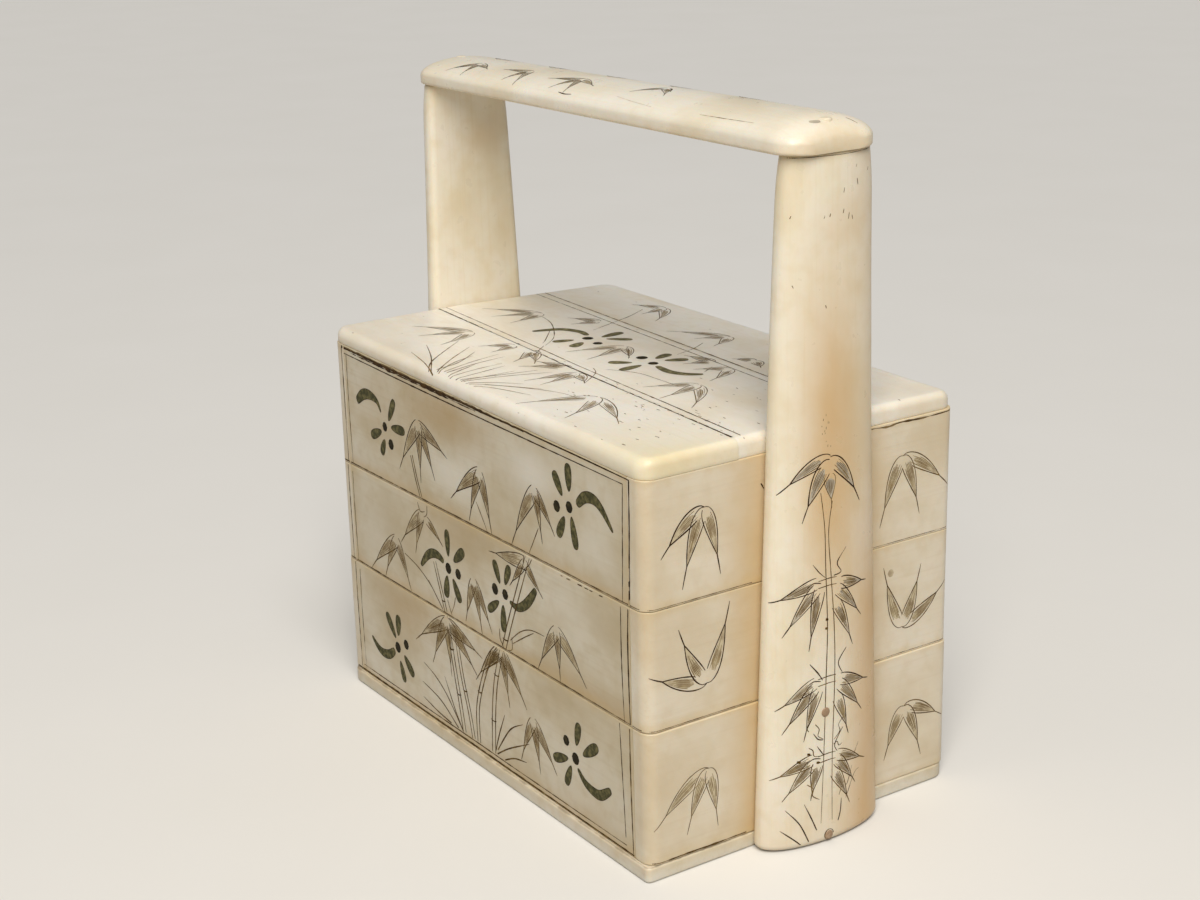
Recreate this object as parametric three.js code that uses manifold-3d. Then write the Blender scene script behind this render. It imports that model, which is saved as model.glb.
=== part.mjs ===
// Keepsake box of three stacked tiers with a lid and a fixed carrying handle, made of bone slabs.
// Millimetres, +Z up, +X along the box towards its right end, the front faces -Y.
// The origin is the middle of the underside of the base plate.
import * as THREE from 'three';
import { mergeVertices } from 'three/addons/utils/BufferGeometryUtils.js';
import Module from 'manifold-3d';

// overall height with the handle, and the box outside
const OVERALL_HEIGHT = 140;
const BOX_LENGTH = 119;
const BOX_WIDTH = 75;
const CORNER_RADIUS = 2.7;
const END_WALL = 4.7;
const SIDE_WALL = 4.5;
const BOTTOM_TIER_HEIGHT = 27;
const MIDDLE_TIER_HEIGHT = 24;
const TOP_TIER_HEIGHT = 25.6;

// base plate, proud of the front and back walls only
const BASE_THICKNESS = 3.2;
const BASE_OVERHANG = 0.5;
const BASE_CORNER_RADIUS = 1.2;

// corner joints: a tongue on each side wall enters a groove in the end wall
const TONGUE_LENGTH = 2.2;
const TONGUE_THICKNESS = 1.5;

// floors of the two upper tiers, with a panel below that nests in the tier underneath
const FLOOR_THICKNESS = 2.5;
const NEST_DEPTH = 1.8;

// lid of three strips, whose widths differ from the left end to the right end
const LID_THICKNESS = 3.6;
const LID_EDGE_ROUND = 2;
const LID_CORNER_RADIUS = 3.4;
const FRONT_STRIP_LEFT = 27;
const FRONT_STRIP_RIGHT = 21.5;
const BACK_STRIP_LEFT = 19.9;
const BACK_STRIP_RIGHT = 24.8;
const BATTEN_WIDTH = 11;
const BATTEN_THICKNESS = 2.4;

// handle: two uprights and a bar, standing a little behind the middle of the box
const HANDLE_OFFSET = 0.6;
const UPRIGHT_FOOT = 0.4;
const UPRIGHT_HALF_WIDTH_BOTTOM = 15;
const UPRIGHT_HALF_WIDTH_TOP = 10.2;
const UPRIGHT_CROWN_BOTTOM = 7.4;
const UPRIGHT_CROWN_TOP = 6.4;
const UPRIGHT_EDGE = 2.2;
const UPRIGHT_CORNER_ROUND = 2;
const UPRIGHT_FOOT_ROUND = 0.6;
const SHOULDER_HEIGHT = 9;
const SHOULDER_INSET = 0.5;
const BAR_OVERHANG = 0.4;
const BAR_HALF_WIDTH = 10.9;
const BAR_CROWN = 5.7;
const BAR_EDGE = 1.8;
const BAR_PLAN_ROUND = 3;
const BAR_END_ROUND = 4;

// pegs
const PEG_DIAMETER = 2;
const PEG_DEPTH = 3.2;
const UPPER_PEG_DROP = 2.4;
const UPPER_PEG_Y = -1.2;
const LOWER_PEG_Y = -0.2;
const BAR_PEG_DIAMETER = 2.4;
const BAR_PEG_DEPTH = 9;

// clearances
const GLUE_LINE = 0.1;
const REST_GAP = 0.15;
const SLIP = 0.3;
const NEST_CLEARANCE = 0.4;
const PEG_FIT = 0.12;

// facets
const CORNER_STEPS = 6;
const ARC_STEPS = 18;
const FOOT_STEPS = 4;
const PEG_SIDES = 16;

// heights and reaches that follow from the sizes above
const bottomTop = BASE_THICKNESS + BOTTOM_TIER_HEIGHT;
const middleTop = bottomTop + MIDDLE_TIER_HEIGHT;
const topTop = middleTop + TOP_TIER_HEIGHT;
const barUnderside = OVERALL_HEIGHT - BAR_CROWN;
const looseLength = BOX_LENGTH - 2 * SLIP;
const faceX = BOX_LENGTH / 2;
const uprightX = faceX + GLUE_LINE;
const barHalfLength = uprightX + UPRIGHT_CROWN_TOP + BAR_OVERHANG;
const SIDES = [['left', -1], ['right', 1]];

const wasm = await Module();
wasm.setup();

const bone = (color, roughness) => new THREE.MeshStandardMaterial({ color, roughness, metalness: 0 });
const MATERIALS = {
  wall: bone(0xd8ccb0, 0.42),
  end: bone(0xdcc9a4, 0.42),
  lid: bone(0xeee4cf, 0.4),
  handle: bone(0xe6d5b0, 0.38),
  base: bone(0xd5cfc0, 0.48),
  inside: bone(0xd2c3a2, 0.55),
  peg: bone(0x9a7d50, 0.6),
};

const keepsakeBox = new THREE.Group();
keepsakeBox.name = 'three_tier_keepsake_box';

function addGroup(z) {
  const group = new THREE.Group();
  group.position.z = z;
  keepsakeBox.add(group);
  return group;
}

function addPiece(group, name, geometry, material) {
  const mesh = new THREE.Mesh(geometry, material);
  mesh.name = name;
  group.add(mesh);
  return mesh;
}

function toSolid(geometry) {
  const bare = geometry.clone();
  bare.deleteAttribute('normal');
  bare.deleteAttribute('uv');
  const welded = mergeVertices(bare, 1e-5);
  return new wasm.Manifold(new wasm.Mesh({
    numProp: 3,
    vertProperties: new Float32Array(welded.attributes.position.array),
    triVerts: new Uint32Array(welded.index.array),
  }));
}

function toGeometry(solid) {
  const mesh = solid.getMesh();
  const geometry = new THREE.BufferGeometry();
  geometry.setAttribute('position', new THREE.BufferAttribute(new Float32Array(mesh.vertProperties), 3));
  geometry.setIndex(new THREE.BufferAttribute(new Uint32Array(mesh.triVerts), 1));
  geometry.computeVertexNormals();
  return geometry;
}

function cut(geometry, tools) {
  return toGeometry(tools.reduce((solid, tool) => solid.subtract(toSolid(tool)), toSolid(geometry)));
}

function block(low, high) {
  const size = high.map((value, axis) => value - low[axis]);
  const middle = high.map((value, axis) => (value + low[axis]) / 2);
  return new THREE.BoxGeometry(...size).translate(...middle);
}

function prism(outline, height) {
  const shape = new THREE.Shape(outline.map(([x, y]) => new THREE.Vector2(x, y)));
  return new THREE.ExtrudeGeometry(shape, { depth: height, bevelEnabled: false });
}

// quarter arc about a centre, starting at an angle
function quarter(cx, cy, radius, start) {
  const points = [];
  for (let i = 0; i <= CORNER_STEPS; i += 1) {
    const angle = start + (i / CORNER_STEPS) * Math.PI / 2;
    points.push([cx + radius * Math.cos(angle), cy + radius * Math.sin(angle)]);
  }
  return points;
}

function roundedRectangle(halfX, halfY, radius) {
  return [
    ...quarter(halfX - radius, halfY - radius, radius, 0),
    ...quarter(-halfX + radius, halfY - radius, radius, Math.PI / 2),
    ...quarter(-halfX + radius, -halfY + radius, radius, Math.PI),
    ...quarter(halfX - radius, -halfY + radius, radius, 1.5 * Math.PI),
  ];
}

// closed body through rings of equal length, each end closed by a fan
function loft(rings) {
  const count = rings[0].length;
  const positions = rings.flat(2);
  const index = [];
  for (let r = 0; r + 1 < rings.length; r += 1) {
    for (let i = 0; i < count; i += 1) {
      const a = r * count + i;
      const b = r * count + (i + 1) % count;
      index.push(a, b, b + count, a, b + count, a + count);
    }
  }
  for (const [ring, flip] of [[0, true], [rings.length - 1, false]]) {
    const centre = positions.length / 3;
    const middle = rings[ring].reduce((sum, p) => sum.map((v, k) => v + p[k] / count), [0, 0, 0]);
    positions.push(...middle);
    for (let i = 0; i < count; i += 1) {
      const a = ring * count + i;
      const b = ring * count + (i + 1) % count;
      index.push(...(flip ? [centre, b, a] : [centre, a, b]));
    }
  }
  const geometry = new THREE.BufferGeometry();
  geometry.setAttribute('position', new THREE.BufferAttribute(new Float32Array(positions), 3));
  geometry.setIndex(index);
  geometry.computeVertexNormals();
  return geometry;
}

// level rod along X from one station to another
function rodX(diameter, y, z, from, to) {
  const rod = new THREE.CylinderGeometry(diameter / 2, diameter / 2, to - from, PEG_SIDES);
  return rod.rotateZ(-Math.PI / 2).translate((from + to) / 2, y, z);
}

// upright rod along Z from one station to another
function rodZ(diameter, x, y, from, to) {
  const rod = new THREE.CylinderGeometry(diameter / 2, diameter / 2, to - from, PEG_SIDES);
  return rod.rotateX(Math.PI / 2).translate(x, y, (from + to) / 2);
}

// side pegs run through the uprights: the upper pair into the end walls, the lower pair into the base plate
const taper = (bottom, top, z) => bottom + (top - bottom) * (z / barUnderside);
const crownAt = (z) => taper(UPRIGHT_CROWN_BOTTOM, UPRIGHT_CROWN_TOP, z);
const upperPeg = { name: 'upper', y: UPPER_PEG_Y, z: bottomTop - UPPER_PEG_DROP };
const lowerPeg = { name: 'lower', y: LOWER_PEG_Y, z: BASE_THICKNESS / 2 };
function pegRod(peg, sign, diameter, from, to) {
  const ends = sign > 0 ? [from, to] : [-to, -from];
  return rodX(diameter, peg.y, peg.z, ...ends);
}
function pegHole(peg, sign) {
  const past = uprightX + 2 * UPRIGHT_CROWN_BOTTOM;
  return pegRod(peg, sign, PEG_DIAMETER + 2 * PEG_FIT, faceX - PEG_DEPTH - PEG_FIT, past);
}

// one tier's walls: end walls the full width of the box, side walls set between them
const tongueMiddle = (BOX_WIDTH - SIDE_WALL) / 2;
function endOutline(length, sign) {
  const outer = length / 2;
  const inner = outer - END_WALL;
  const groove = inner - GLUE_LINE + TONGUE_LENGTH + PEG_FIT;
  const half = TONGUE_THICKNESS / 2 + PEG_FIT;
  const side = BOX_WIDTH / 2;
  const points = [
    [inner, -side],
    ...quarter(outer - CORNER_RADIUS, -side + CORNER_RADIUS, CORNER_RADIUS, -Math.PI / 2),
    ...quarter(outer - CORNER_RADIUS, side - CORNER_RADIUS, CORNER_RADIUS, 0),
    [inner, side],
  ];
  for (const y of [tongueMiddle, -tongueMiddle]) {
    points.push([inner, y + half], [groove, y + half], [groove, y - half], [inner, y - half]);
  }
  return sign > 0 ? points : points.map(([x, y]) => [-x, y]).reverse();
}

function sideOutline(length, sign) {
  const reach = length / 2 - END_WALL - GLUE_LINE;
  const tip = reach + TONGUE_LENGTH;
  const outer = BOX_WIDTH / 2;
  const inner = outer - SIDE_WALL;
  const high = tongueMiddle + TONGUE_THICKNESS / 2;
  const low = tongueMiddle - TONGUE_THICKNESS / 2;
  const half = [[reach, inner], [reach, low], [tip, low], [tip, high], [reach, high], [reach, outer]];
  const points = [...half, ...half.map(([x, y]) => [-x, y]).reverse()];
  return sign > 0 ? points : points.map(([x, y]) => [x, -y]).reverse();
}

function addTier(name, length, zLow, zHigh) {
  const tier = addGroup(zLow);
  const height = zHigh - zLow;
  for (const [side, sign] of [['front', -1], ['back', 1]]) {
    addPiece(tier, `${name}_${side}_wall`, prism(sideOutline(length, sign), height), MATERIALS.wall);
  }
  for (const [side, sign] of SIDES) {
    addPiece(tier, `${name}_${side}_end`, prism(endOutline(length, sign), height), MATERIALS.end);
  }
  return tier;
}

function addFloor(name, tier, length) {
  const halfX = length / 2 - END_WALL - GLUE_LINE;
  const halfY = BOX_WIDTH / 2 - SIDE_WALL - GLUE_LINE;
  const nestX = halfX - NEST_CLEARANCE;
  const nestY = halfY - NEST_CLEARANCE;
  const floor = toSolid(block([-halfX, -halfY, 0], [halfX, halfY, FLOOR_THICKNESS]));
  const panel = toSolid(block([-nestX, -nestY, -NEST_DEPTH], [nestX, nestY, FLOOR_THICKNESS / 2]));
  addPiece(tier, `${name}_floor`, toGeometry(floor.add(panel)), MATERIALS.inside);
}

// base plate and bottom tier, which carry the handle
const baseOutline = roundedRectangle(BOX_LENGTH / 2, BOX_WIDTH / 2 + BASE_OVERHANG, BASE_CORNER_RADIUS);
const basePlate = cut(prism(baseOutline, BASE_THICKNESS), SIDES.map(([, sign]) => pegHole(lowerPeg, sign)));
addPiece(keepsakeBox, 'base_plate', basePlate, MATERIALS.base);
const bottomLow = BASE_THICKNESS + GLUE_LINE;
const bottomTier = addTier('bottom', BOX_LENGTH, bottomLow, bottomTop);
for (const [side, sign] of SIDES) {
  const wall = bottomTier.getObjectByName(`bottom_${side}_end`);
  wall.geometry = cut(wall.geometry, [pegHole(upperPeg, sign).translate(0, 0, -bottomLow)]);
}

// middle and top tiers, loose between the uprights
for (const [name, zLow, zHigh] of [['middle', bottomTop, middleTop], ['top', middleTop, topTop]]) {
  addFloor(name, addTier(name, looseLength, zLow + REST_GAP, zHigh), looseLength);
}

// lid: one slab with rounded top edges, parted along its two seams
const lid = addGroup(topTop + REST_GAP);
const lidHeight = LID_THICKNESS - REST_GAP;
const lidLevels = [[0, 0]];
for (let i = 0; i <= CORNER_STEPS; i += 1) {
  const angle = (i / CORNER_STEPS) * Math.PI / 2;
  lidLevels.push([LID_EDGE_ROUND * (1 - Math.cos(angle)), lidHeight - LID_EDGE_ROUND * (1 - Math.sin(angle))]);
}
function lidRing([inset, z]) {
  const ring = roundedRectangle(looseLength / 2 - inset, BOX_WIDTH / 2 - inset, LID_CORNER_RADIUS - inset);
  return ring.map(([x, y]) => [x, y, z]);
}
const lidSlab = toSolid(loft(lidLevels.map(lidRing)));
// a seam's place on the plan at the two ends of a cutter twice as long as the box
const seam = (left, right) => [left - (right - left) / 2, right + (right - left) / 2];
const frontSeam = seam(FRONT_STRIP_LEFT - BOX_WIDTH / 2, FRONT_STRIP_RIGHT - BOX_WIDTH / 2);
const backSeam = seam(BOX_WIDTH / 2 - BACK_STRIP_LEFT, BOX_WIDTH / 2 - BACK_STRIP_RIGHT);
const glueHalf = GLUE_LINE / 2;
const strips = {
  front: [[-BOX_WIDTH, -BOX_WIDTH], frontSeam.map((y) => y - glueHalf)],
  middle: [frontSeam.map((y) => y + glueHalf), backSeam.map((y) => y - glueHalf)],
  back: [backSeam.map((y) => y + glueHalf), [BOX_WIDTH, BOX_WIDTH]],
};
for (const [name, [low, high]] of Object.entries(strips)) {
  const outline = [[-BOX_LENGTH, low[0]], [BOX_LENGTH, low[1]], [BOX_LENGTH, high[1]], [-BOX_LENGTH, high[0]]];
  const cutter = prism(outline, 3 * LID_THICKNESS).translate(0, 0, -LID_THICKNESS);
  addPiece(lid, `lid_${name}_strip`, toGeometry(lidSlab.intersect(toSolid(cutter))), MATERIALS.lid);
}
const battenY = BOX_WIDTH / 2 - SIDE_WALL - NEST_CLEARANCE;
const battenX = looseLength / 2 - END_WALL - NEST_CLEARANCE;
for (const [side, sign] of SIDES) {
  const ends = [sign * battenX, sign * (battenX - BATTEN_WIDTH)].sort((a, b) => a - b);
  const batten = block([ends[0], -battenY, -GLUE_LINE - BATTEN_THICKNESS], [ends[1], battenY, -GLUE_LINE]);
  addPiece(lid, `lid_${side}_batten`, batten, MATERIALS.inside);
}

// uprights: flat inside, an elliptical crown outside, narrowing upwards
const handle = addGroup(0);
const uprightTop = barUnderside - GLUE_LINE;
const widthAt = (z) => taper(UPRIGHT_HALF_WIDTH_BOTTOM, UPRIGHT_HALF_WIDTH_TOP, z);
function uprightRing([halfWidth, crown, z], sign) {
  const points = [];
  for (let i = 0; i <= ARC_STEPS; i += 1) {
    const angle = (i / ARC_STEPS - 0.5) * Math.PI;
    const x = UPRIGHT_EDGE + (crown - UPRIGHT_EDGE) * Math.cos(angle);
    points.push([uprightX + x, HANDLE_OFFSET + halfWidth * Math.sin(angle), z]);
  }
  points.push([uprightX, HANDLE_OFFSET + halfWidth, z], [uprightX, HANDLE_OFFSET - halfWidth, z]);
  return sign > 0 ? points : points.map(([x, y, h]) => [-x, y, h]).reverse();
}
const uprightLevels = [];
for (let i = 0; i <= FOOT_STEPS; i += 1) {
  const angle = (i / FOOT_STEPS) * Math.PI / 2;
  const z = UPRIGHT_FOOT + UPRIGHT_CORNER_ROUND * (1 - Math.cos(angle));
  const away = 1 - Math.sin(angle);
  uprightLevels.push([widthAt(z) - UPRIGHT_CORNER_ROUND * away, crownAt(z) - UPRIGHT_FOOT_ROUND * away, z]);
}
for (const z of [bottomTop, middleTop, topTop]) {
  uprightLevels.push([widthAt(z), crownAt(z), z]);
}
for (const part of [0, 0.5, 1]) {
  const z = uprightTop - SHOULDER_HEIGHT * (1 - part);
  uprightLevels.push([widthAt(z) - SHOULDER_INSET * part * part, crownAt(z), z]);
}

// bar: flat underside, elliptical crown, rounded ends
function barStation(fromEnd) {
  const planLeft = Math.max(0, BAR_PLAN_ROUND - fromEnd);
  const planDrop = BAR_PLAN_ROUND - Math.sqrt(BAR_PLAN_ROUND ** 2 - planLeft ** 2);
  const endLeft = Math.max(0, 1 - fromEnd / BAR_END_ROUND);
  const rise = 0.04 + 0.96 * Math.sqrt(1 - endLeft ** 2);
  return { halfWidth: BAR_HALF_WIDTH - planDrop, crown: BAR_EDGE + (BAR_CROWN - BAR_EDGE) * rise };
}
function barRing([x, fromEnd]) {
  const { halfWidth, crown } = barStation(fromEnd);
  const points = [[x, HANDLE_OFFSET - halfWidth, barUnderside], [x, HANDLE_OFFSET + halfWidth, barUnderside]];
  for (let i = 0; i <= ARC_STEPS; i += 1) {
    const angle = (0.5 - i / ARC_STEPS) * Math.PI;
    const z = barUnderside + BAR_EDGE + (crown - BAR_EDGE) * Math.cos(angle);
    points.push([x, HANDLE_OFFSET + halfWidth * Math.sin(angle), z]);
  }
  return points;
}
const fromEnds = [0, 0.08, 0.22, 0.45, 0.75, 1].map((part) => part * BAR_END_ROUND);
fromEnds.push(barHalfLength / 2);
const barStations = [
  ...fromEnds.map((d) => [d - barHalfLength, d]),
  [0, barHalfLength],
  ...fromEnds.map((d) => [barHalfLength - d, d]).reverse(),
];
const barPegX = uprightX + UPRIGHT_CROWN_TOP / 2;
const barPegFoot = uprightTop - BAR_PEG_DEPTH;
function barPegHole(sign) {
  const diameter = BAR_PEG_DIAMETER + 2 * PEG_FIT;
  return rodZ(diameter, sign * barPegX, HANDLE_OFFSET, barPegFoot - PEG_FIT, barUnderside + 2 * BAR_CROWN);
}
const barHoles = SIDES.map(([, sign]) => barPegHole(sign));
addPiece(handle, 'handle_bar', cut(loft(barStations.map(barRing)), barHoles), MATERIALS.handle);

const barPegHead = barUnderside + barStation(barHalfLength - barPegX).crown;
for (const [side, sign] of SIDES) {
  const blank = loft(uprightLevels.map((level) => uprightRing(level, sign)));
  const holes = [pegHole(upperPeg, sign), pegHole(lowerPeg, sign), barPegHole(sign)];
  addPiece(handle, `${side}_upright`, cut(blank, holes), MATERIALS.handle);
  for (const peg of [upperPeg, lowerPeg]) {
    const rod = pegRod(peg, sign, PEG_DIAMETER, faceX - PEG_DEPTH, uprightX + crownAt(peg.z));
    addPiece(handle, `${side}_${peg.name}_peg`, rod, MATERIALS.peg);
  }
  const barPeg = rodZ(BAR_PEG_DIAMETER, sign * barPegX, HANDLE_OFFSET, barPegFoot, barPegHead);
  addPiece(handle, `${side}_bar_peg`, barPeg, MATERIALS.peg);
}

export default keepsakeBox;
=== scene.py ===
"""Three-tier keepsake box of polished bone, engraved with bamboo and orchids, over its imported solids."""
import math
import random

import bmesh
import bpy
from mathutils import Matrix, Vector, noise


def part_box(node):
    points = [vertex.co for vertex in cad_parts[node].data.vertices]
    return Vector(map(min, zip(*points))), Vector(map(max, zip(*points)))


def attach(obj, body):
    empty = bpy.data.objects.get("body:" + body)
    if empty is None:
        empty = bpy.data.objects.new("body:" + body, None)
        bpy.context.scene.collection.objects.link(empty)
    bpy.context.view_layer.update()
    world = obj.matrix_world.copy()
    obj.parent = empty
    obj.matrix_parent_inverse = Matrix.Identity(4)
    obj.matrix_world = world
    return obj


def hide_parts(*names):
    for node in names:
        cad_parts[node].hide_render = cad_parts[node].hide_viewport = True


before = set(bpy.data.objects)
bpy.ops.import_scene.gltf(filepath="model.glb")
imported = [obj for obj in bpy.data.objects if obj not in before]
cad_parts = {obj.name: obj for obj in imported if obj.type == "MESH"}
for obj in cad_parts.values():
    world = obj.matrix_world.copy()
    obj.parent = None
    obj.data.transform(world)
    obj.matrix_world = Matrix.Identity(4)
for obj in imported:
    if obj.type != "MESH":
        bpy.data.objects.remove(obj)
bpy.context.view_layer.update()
scene = bpy.context.scene
scene.view_settings.view_transform = "Standard"

MM = 0.001
BODIES = ("base_and_handle", "middle_tier", "top_tier", "lid")
TIERS = {"bottom": "base_and_handle", "middle": "middle_tier", "top": "top_tier"}


def extent(node):
    """Lowest and highest corner of a solid in millimetres."""
    return [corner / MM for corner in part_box(node)]


# sizes of the solids in millimetres
wall_low, wall_high = extent("top_back_wall")
bar_low, bar_high = extent("handle_bar")
SIDE = round(wall_high.y, 2)
WALL_INNER = round(wall_low.y, 2)
UPRIGHT_X = round(extent("right_upright")[0].x, 2)
HANDLE_Y = round((bar_low.y + bar_high.y) / 2, 2)
BAR_HALF = round((bar_high.y - bar_low.y) / 2, 2)
BAR_END = round(bar_high.x, 2)
BAR_UNDERSIDE = round(bar_low.z, 2)
BAR_HEIGHT = round(bar_high.z - bar_low.z, 2)

# walls: rounded corners, tongues and their fit
CORNER = 2.7
TONGUE = 2.2
TONGUE_MIDDLE = (SIDE + WALL_INNER) / 2
TONGUE_HALF = 0.75
GLUE = 0.1
FIT = 0.12

# eased edges, and the hair by which a seam is closed
ARRIS = 0.3
FINE_ARRIS = 0.2
BATTEN_ARRIS = 0.35
BASE_ARRIS = 0.5
SEAM = 0.05

# lid: its plan corners, the roundings of its top edges, its drop onto the top tier, and the ends of its seams
LID_CORNER = 3.4
LID_ROUND = {"front": 2.2, "back": 2.5, "left": 1.0, "right": 1.5}
LID_DROP = 0.08
FRONT_SEAM = (-10.5, -16.0)
BACK_SEAM = (17.6, 12.7)

# handle: half width and crown of an upright at the ground and under the bar, then the edges
UPRIGHT_WIDTH = (15.0, 10.2)
UPRIGHT_CROWN = (7.4, 6.4)
UPRIGHT_EDGE = 2.2
UPRIGHT_EASE = 1.6
FOOT_ROUND = 1.3
BAR_EDGE = 1.8
BAR_EASE = 0.6
BAR_CORNER = 5.4


# finishes


def linear(code):
    """sRGB hex to linear colour."""
    parts = [int(code[i:i + 2], 16) / 255 for i in (1, 3, 5)]
    return [c / 12.92 if c <= 0.04045 else ((c + 0.055) / 1.055) ** 2.4 for c in parts] + [1.0]


def add(tree, kind, inputs=None, **settings):
    """A node with its settings, its values and its links."""
    node = tree.nodes.new(kind)
    for key, value in settings.items():
        setattr(node, key, value)
    for key, value in (inputs or {}).items():
        if isinstance(value, bpy.types.NodeSocket):
            tree.links.new(value, node.inputs[key])
        else:
            node.inputs[key].default_value = value
    return node


def blank_material(name):
    """A new material with its tree and its shader."""
    material = bpy.data.materials.new(name)
    material.use_nodes = True
    return material, material.node_tree, material.node_tree.nodes["Principled BSDF"]


# sizes of the bone's patterns in millimetres, along and across the grain. Real scraper lines and pores are
# about 0.1 mm wide, too fine to show in the picture, so they are drawn coarser
CLOUD = (26, 15)
MOTTLE = 3.2
SCRAPER_LINE = (30, 0.7)
PORE = (2.4, 1.0)


def polished_bone(name, tone, pale, tan, stain_and_shade_tone, grain, gloss, pores):
    """Sawn, scraped and hand-polished bone. The eye gets a milky cream with soft clouds, faint scraper lines
    along the grain, short dark pores, older yellow where it is stained, the same stain tone laid on as
    painted shade where a piece's stain map holds it, thin brown dirt in the seams and a satin gloss."""
    material, tree, shader = blank_material(name)
    place = add(tree, "ShaderNodeTexCoord").outputs["Object"]
    lot = add(tree, "ShaderNodeAttribute", attribute_name="lot").outputs["Vector"]
    edge = add(tree, "ShaderNodeAttribute", attribute_name="edge").outputs["Fac"]
    stain_and_shade = add(tree, "ShaderNodeAttribute", attribute_name="stain_and_shade").outputs["Fac"]
    own = add(tree, "ShaderNodeVectorMath", {0: place, 1: lot}, operation="ADD").outputs[0]

    def stretched(length, width):
        """Scale of a pattern that lies along the grain."""
        return [1 / (MM * (length if axis == grain else width)) for axis in "XYZ"]

    cloud_place = add(tree, "ShaderNodeMapping", {"Vector": own, "Scale": stretched(*CLOUD)}).outputs[0]
    clouds = add(tree, "ShaderNodeTexNoise", {"Vector": cloud_place, "Scale": 1.0, "Detail": 4.0}).outputs[0]
    mottle = add(tree, "ShaderNodeTexNoise",
                 {"Vector": own, "Scale": 1 / (MOTTLE * MM), "Detail": 4.0}).outputs[0]
    line_place = add(tree, "ShaderNodeMapping", {"Vector": own, "Scale": stretched(*SCRAPER_LINE)}).outputs[0]
    lines = add(tree, "ShaderNodeTexNoise", {"Vector": line_place, "Scale": 1.0, "Detail": 4.0}).outputs[0]
    pore_place = add(tree, "ShaderNodeMapping", {"Vector": own, "Scale": stretched(*PORE)}).outputs[0]
    cells = add(tree, "ShaderNodeTexVoronoi", {"Vector": pore_place, "Scale": 1.0})
    pit = add(tree, "ShaderNodeMapRange", {0: cells.outputs["Distance"], 1: 0.07, 2: 0.2, 3: 1.0, 4: 0.0})
    some = add(tree, "ShaderNodeMapRange", {0: cells.outputs["Color"], 1: 1 - pores, 2: 1.1 - pores})
    pore = add(tree, "ShaderNodeMath", {0: pit.outputs[0], 1: some.outputs[0]},
               operation="MULTIPLY").outputs[0]

    # reach of the yellow and of the dirt from an edge, made uneven by the mottle
    ragged = add(tree, "ShaderNodeMath", {0: mottle, 1: -2.4, 2: edge}, operation="MULTIPLY_ADD").outputs[0]
    yellow = add(tree, "ShaderNodeMapRange", {0: ragged, 1: -1.3, 2: 1.6, 3: 0.34, 4: 0.0},
                 interpolation_type="SMOOTHSTEP").outputs[0]
    rough_edge = add(tree, "ShaderNodeMath", {0: mottle, 1: -0.9, 2: edge},
                     operation="MULTIPLY_ADD").outputs[0]
    dirt = add(tree, "ShaderNodeMapRange", {0: rough_edge, 1: -0.5, 2: -0.12, 3: 0.55, 4: 0.0},
               interpolation_type="SMOOTHSTEP").outputs[0]
    milky = add(tree, "ShaderNodeMapRange", {0: clouds, 1: 0.46, 2: 0.66, 3: 0.0, 4: 0.9}).outputs[0]
    aged = add(tree, "ShaderNodeMapRange", {0: clouds, 1: 0.5, 2: 0.3, 3: 0.0, 4: 0.75}).outputs[0]
    freckled = add(tree, "ShaderNodeMapRange", {0: mottle, 1: 0.48, 2: 0.74, 3: 0.0, 4: 0.32}).outputs[0]
    scraped = add(tree, "ShaderNodeMapRange", {0: lines, 1: 0.52, 2: 0.78, 3: 0.0, 4: 0.28}).outputs[0]
    uneven = add(tree, "ShaderNodeMapRange", {0: clouds, 1: 0.3, 2: 0.7, 3: 1.12, 4: 0.82}).outputs[0]
    # the stain map holds real stains and, on the walls, ends and uprights, painted shade as well
    stained_and_shaded = add(tree, "ShaderNodeMath", {0: stain_and_shade, 1: uneven}, operation="MULTIPLY",
                  use_clamp=True).outputs[0]
    bleached = add(tree, "ShaderNodeMapRange", {0: stain_and_shade, 1: 0.0, 2: -1.0}).outputs[0]

    colour = linear(tone)
    layers = ((milky, pale), (aged, tan), (freckled, tan), (scraped, tan), (bleached, "#F1ECE0"),
              (stained_and_shaded, stain_and_shade_tone), (yellow, "#D6B982"), (pore, "#6A583C"), (dirt, "#5A4426"))
    for weight, code in layers:
        mix = add(tree, "ShaderNodeMix", {0: weight, 6: colour, 7: linear(code)}, data_type="RGBA")
        colour = mix.outputs[2]
    tree.links.new(colour, shader.inputs["Base Color"])
    rough = add(tree, "ShaderNodeMapRange", {0: mottle, 1: 0.3, 2: 0.75, 3: gloss - 0.06, 4: gloss + 0.12})
    tree.links.new(rough.outputs[0], shader.inputs["Roughness"])
    relief = add(tree, "ShaderNodeMath", {0: pore, 1: -1.4, 2: lines}, operation="MULTIPLY_ADD").outputs[0]
    bump = add(tree, "ShaderNodeBump", {"Height": relief, "Strength": 0.5, "Distance": 0.05 * MM})
    tree.links.new(bump.outputs[0], shader.inputs["Normal"])
    shader.inputs["IOR"].default_value = 1.54
    shader.inputs["Subsurface Weight"].default_value = 0.22
    shader.inputs["Subsurface Radius"].default_value = (1.0, 0.65, 0.4)
    shader.inputs["Subsurface Scale"].default_value = 1.6 * MM
    return material


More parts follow.
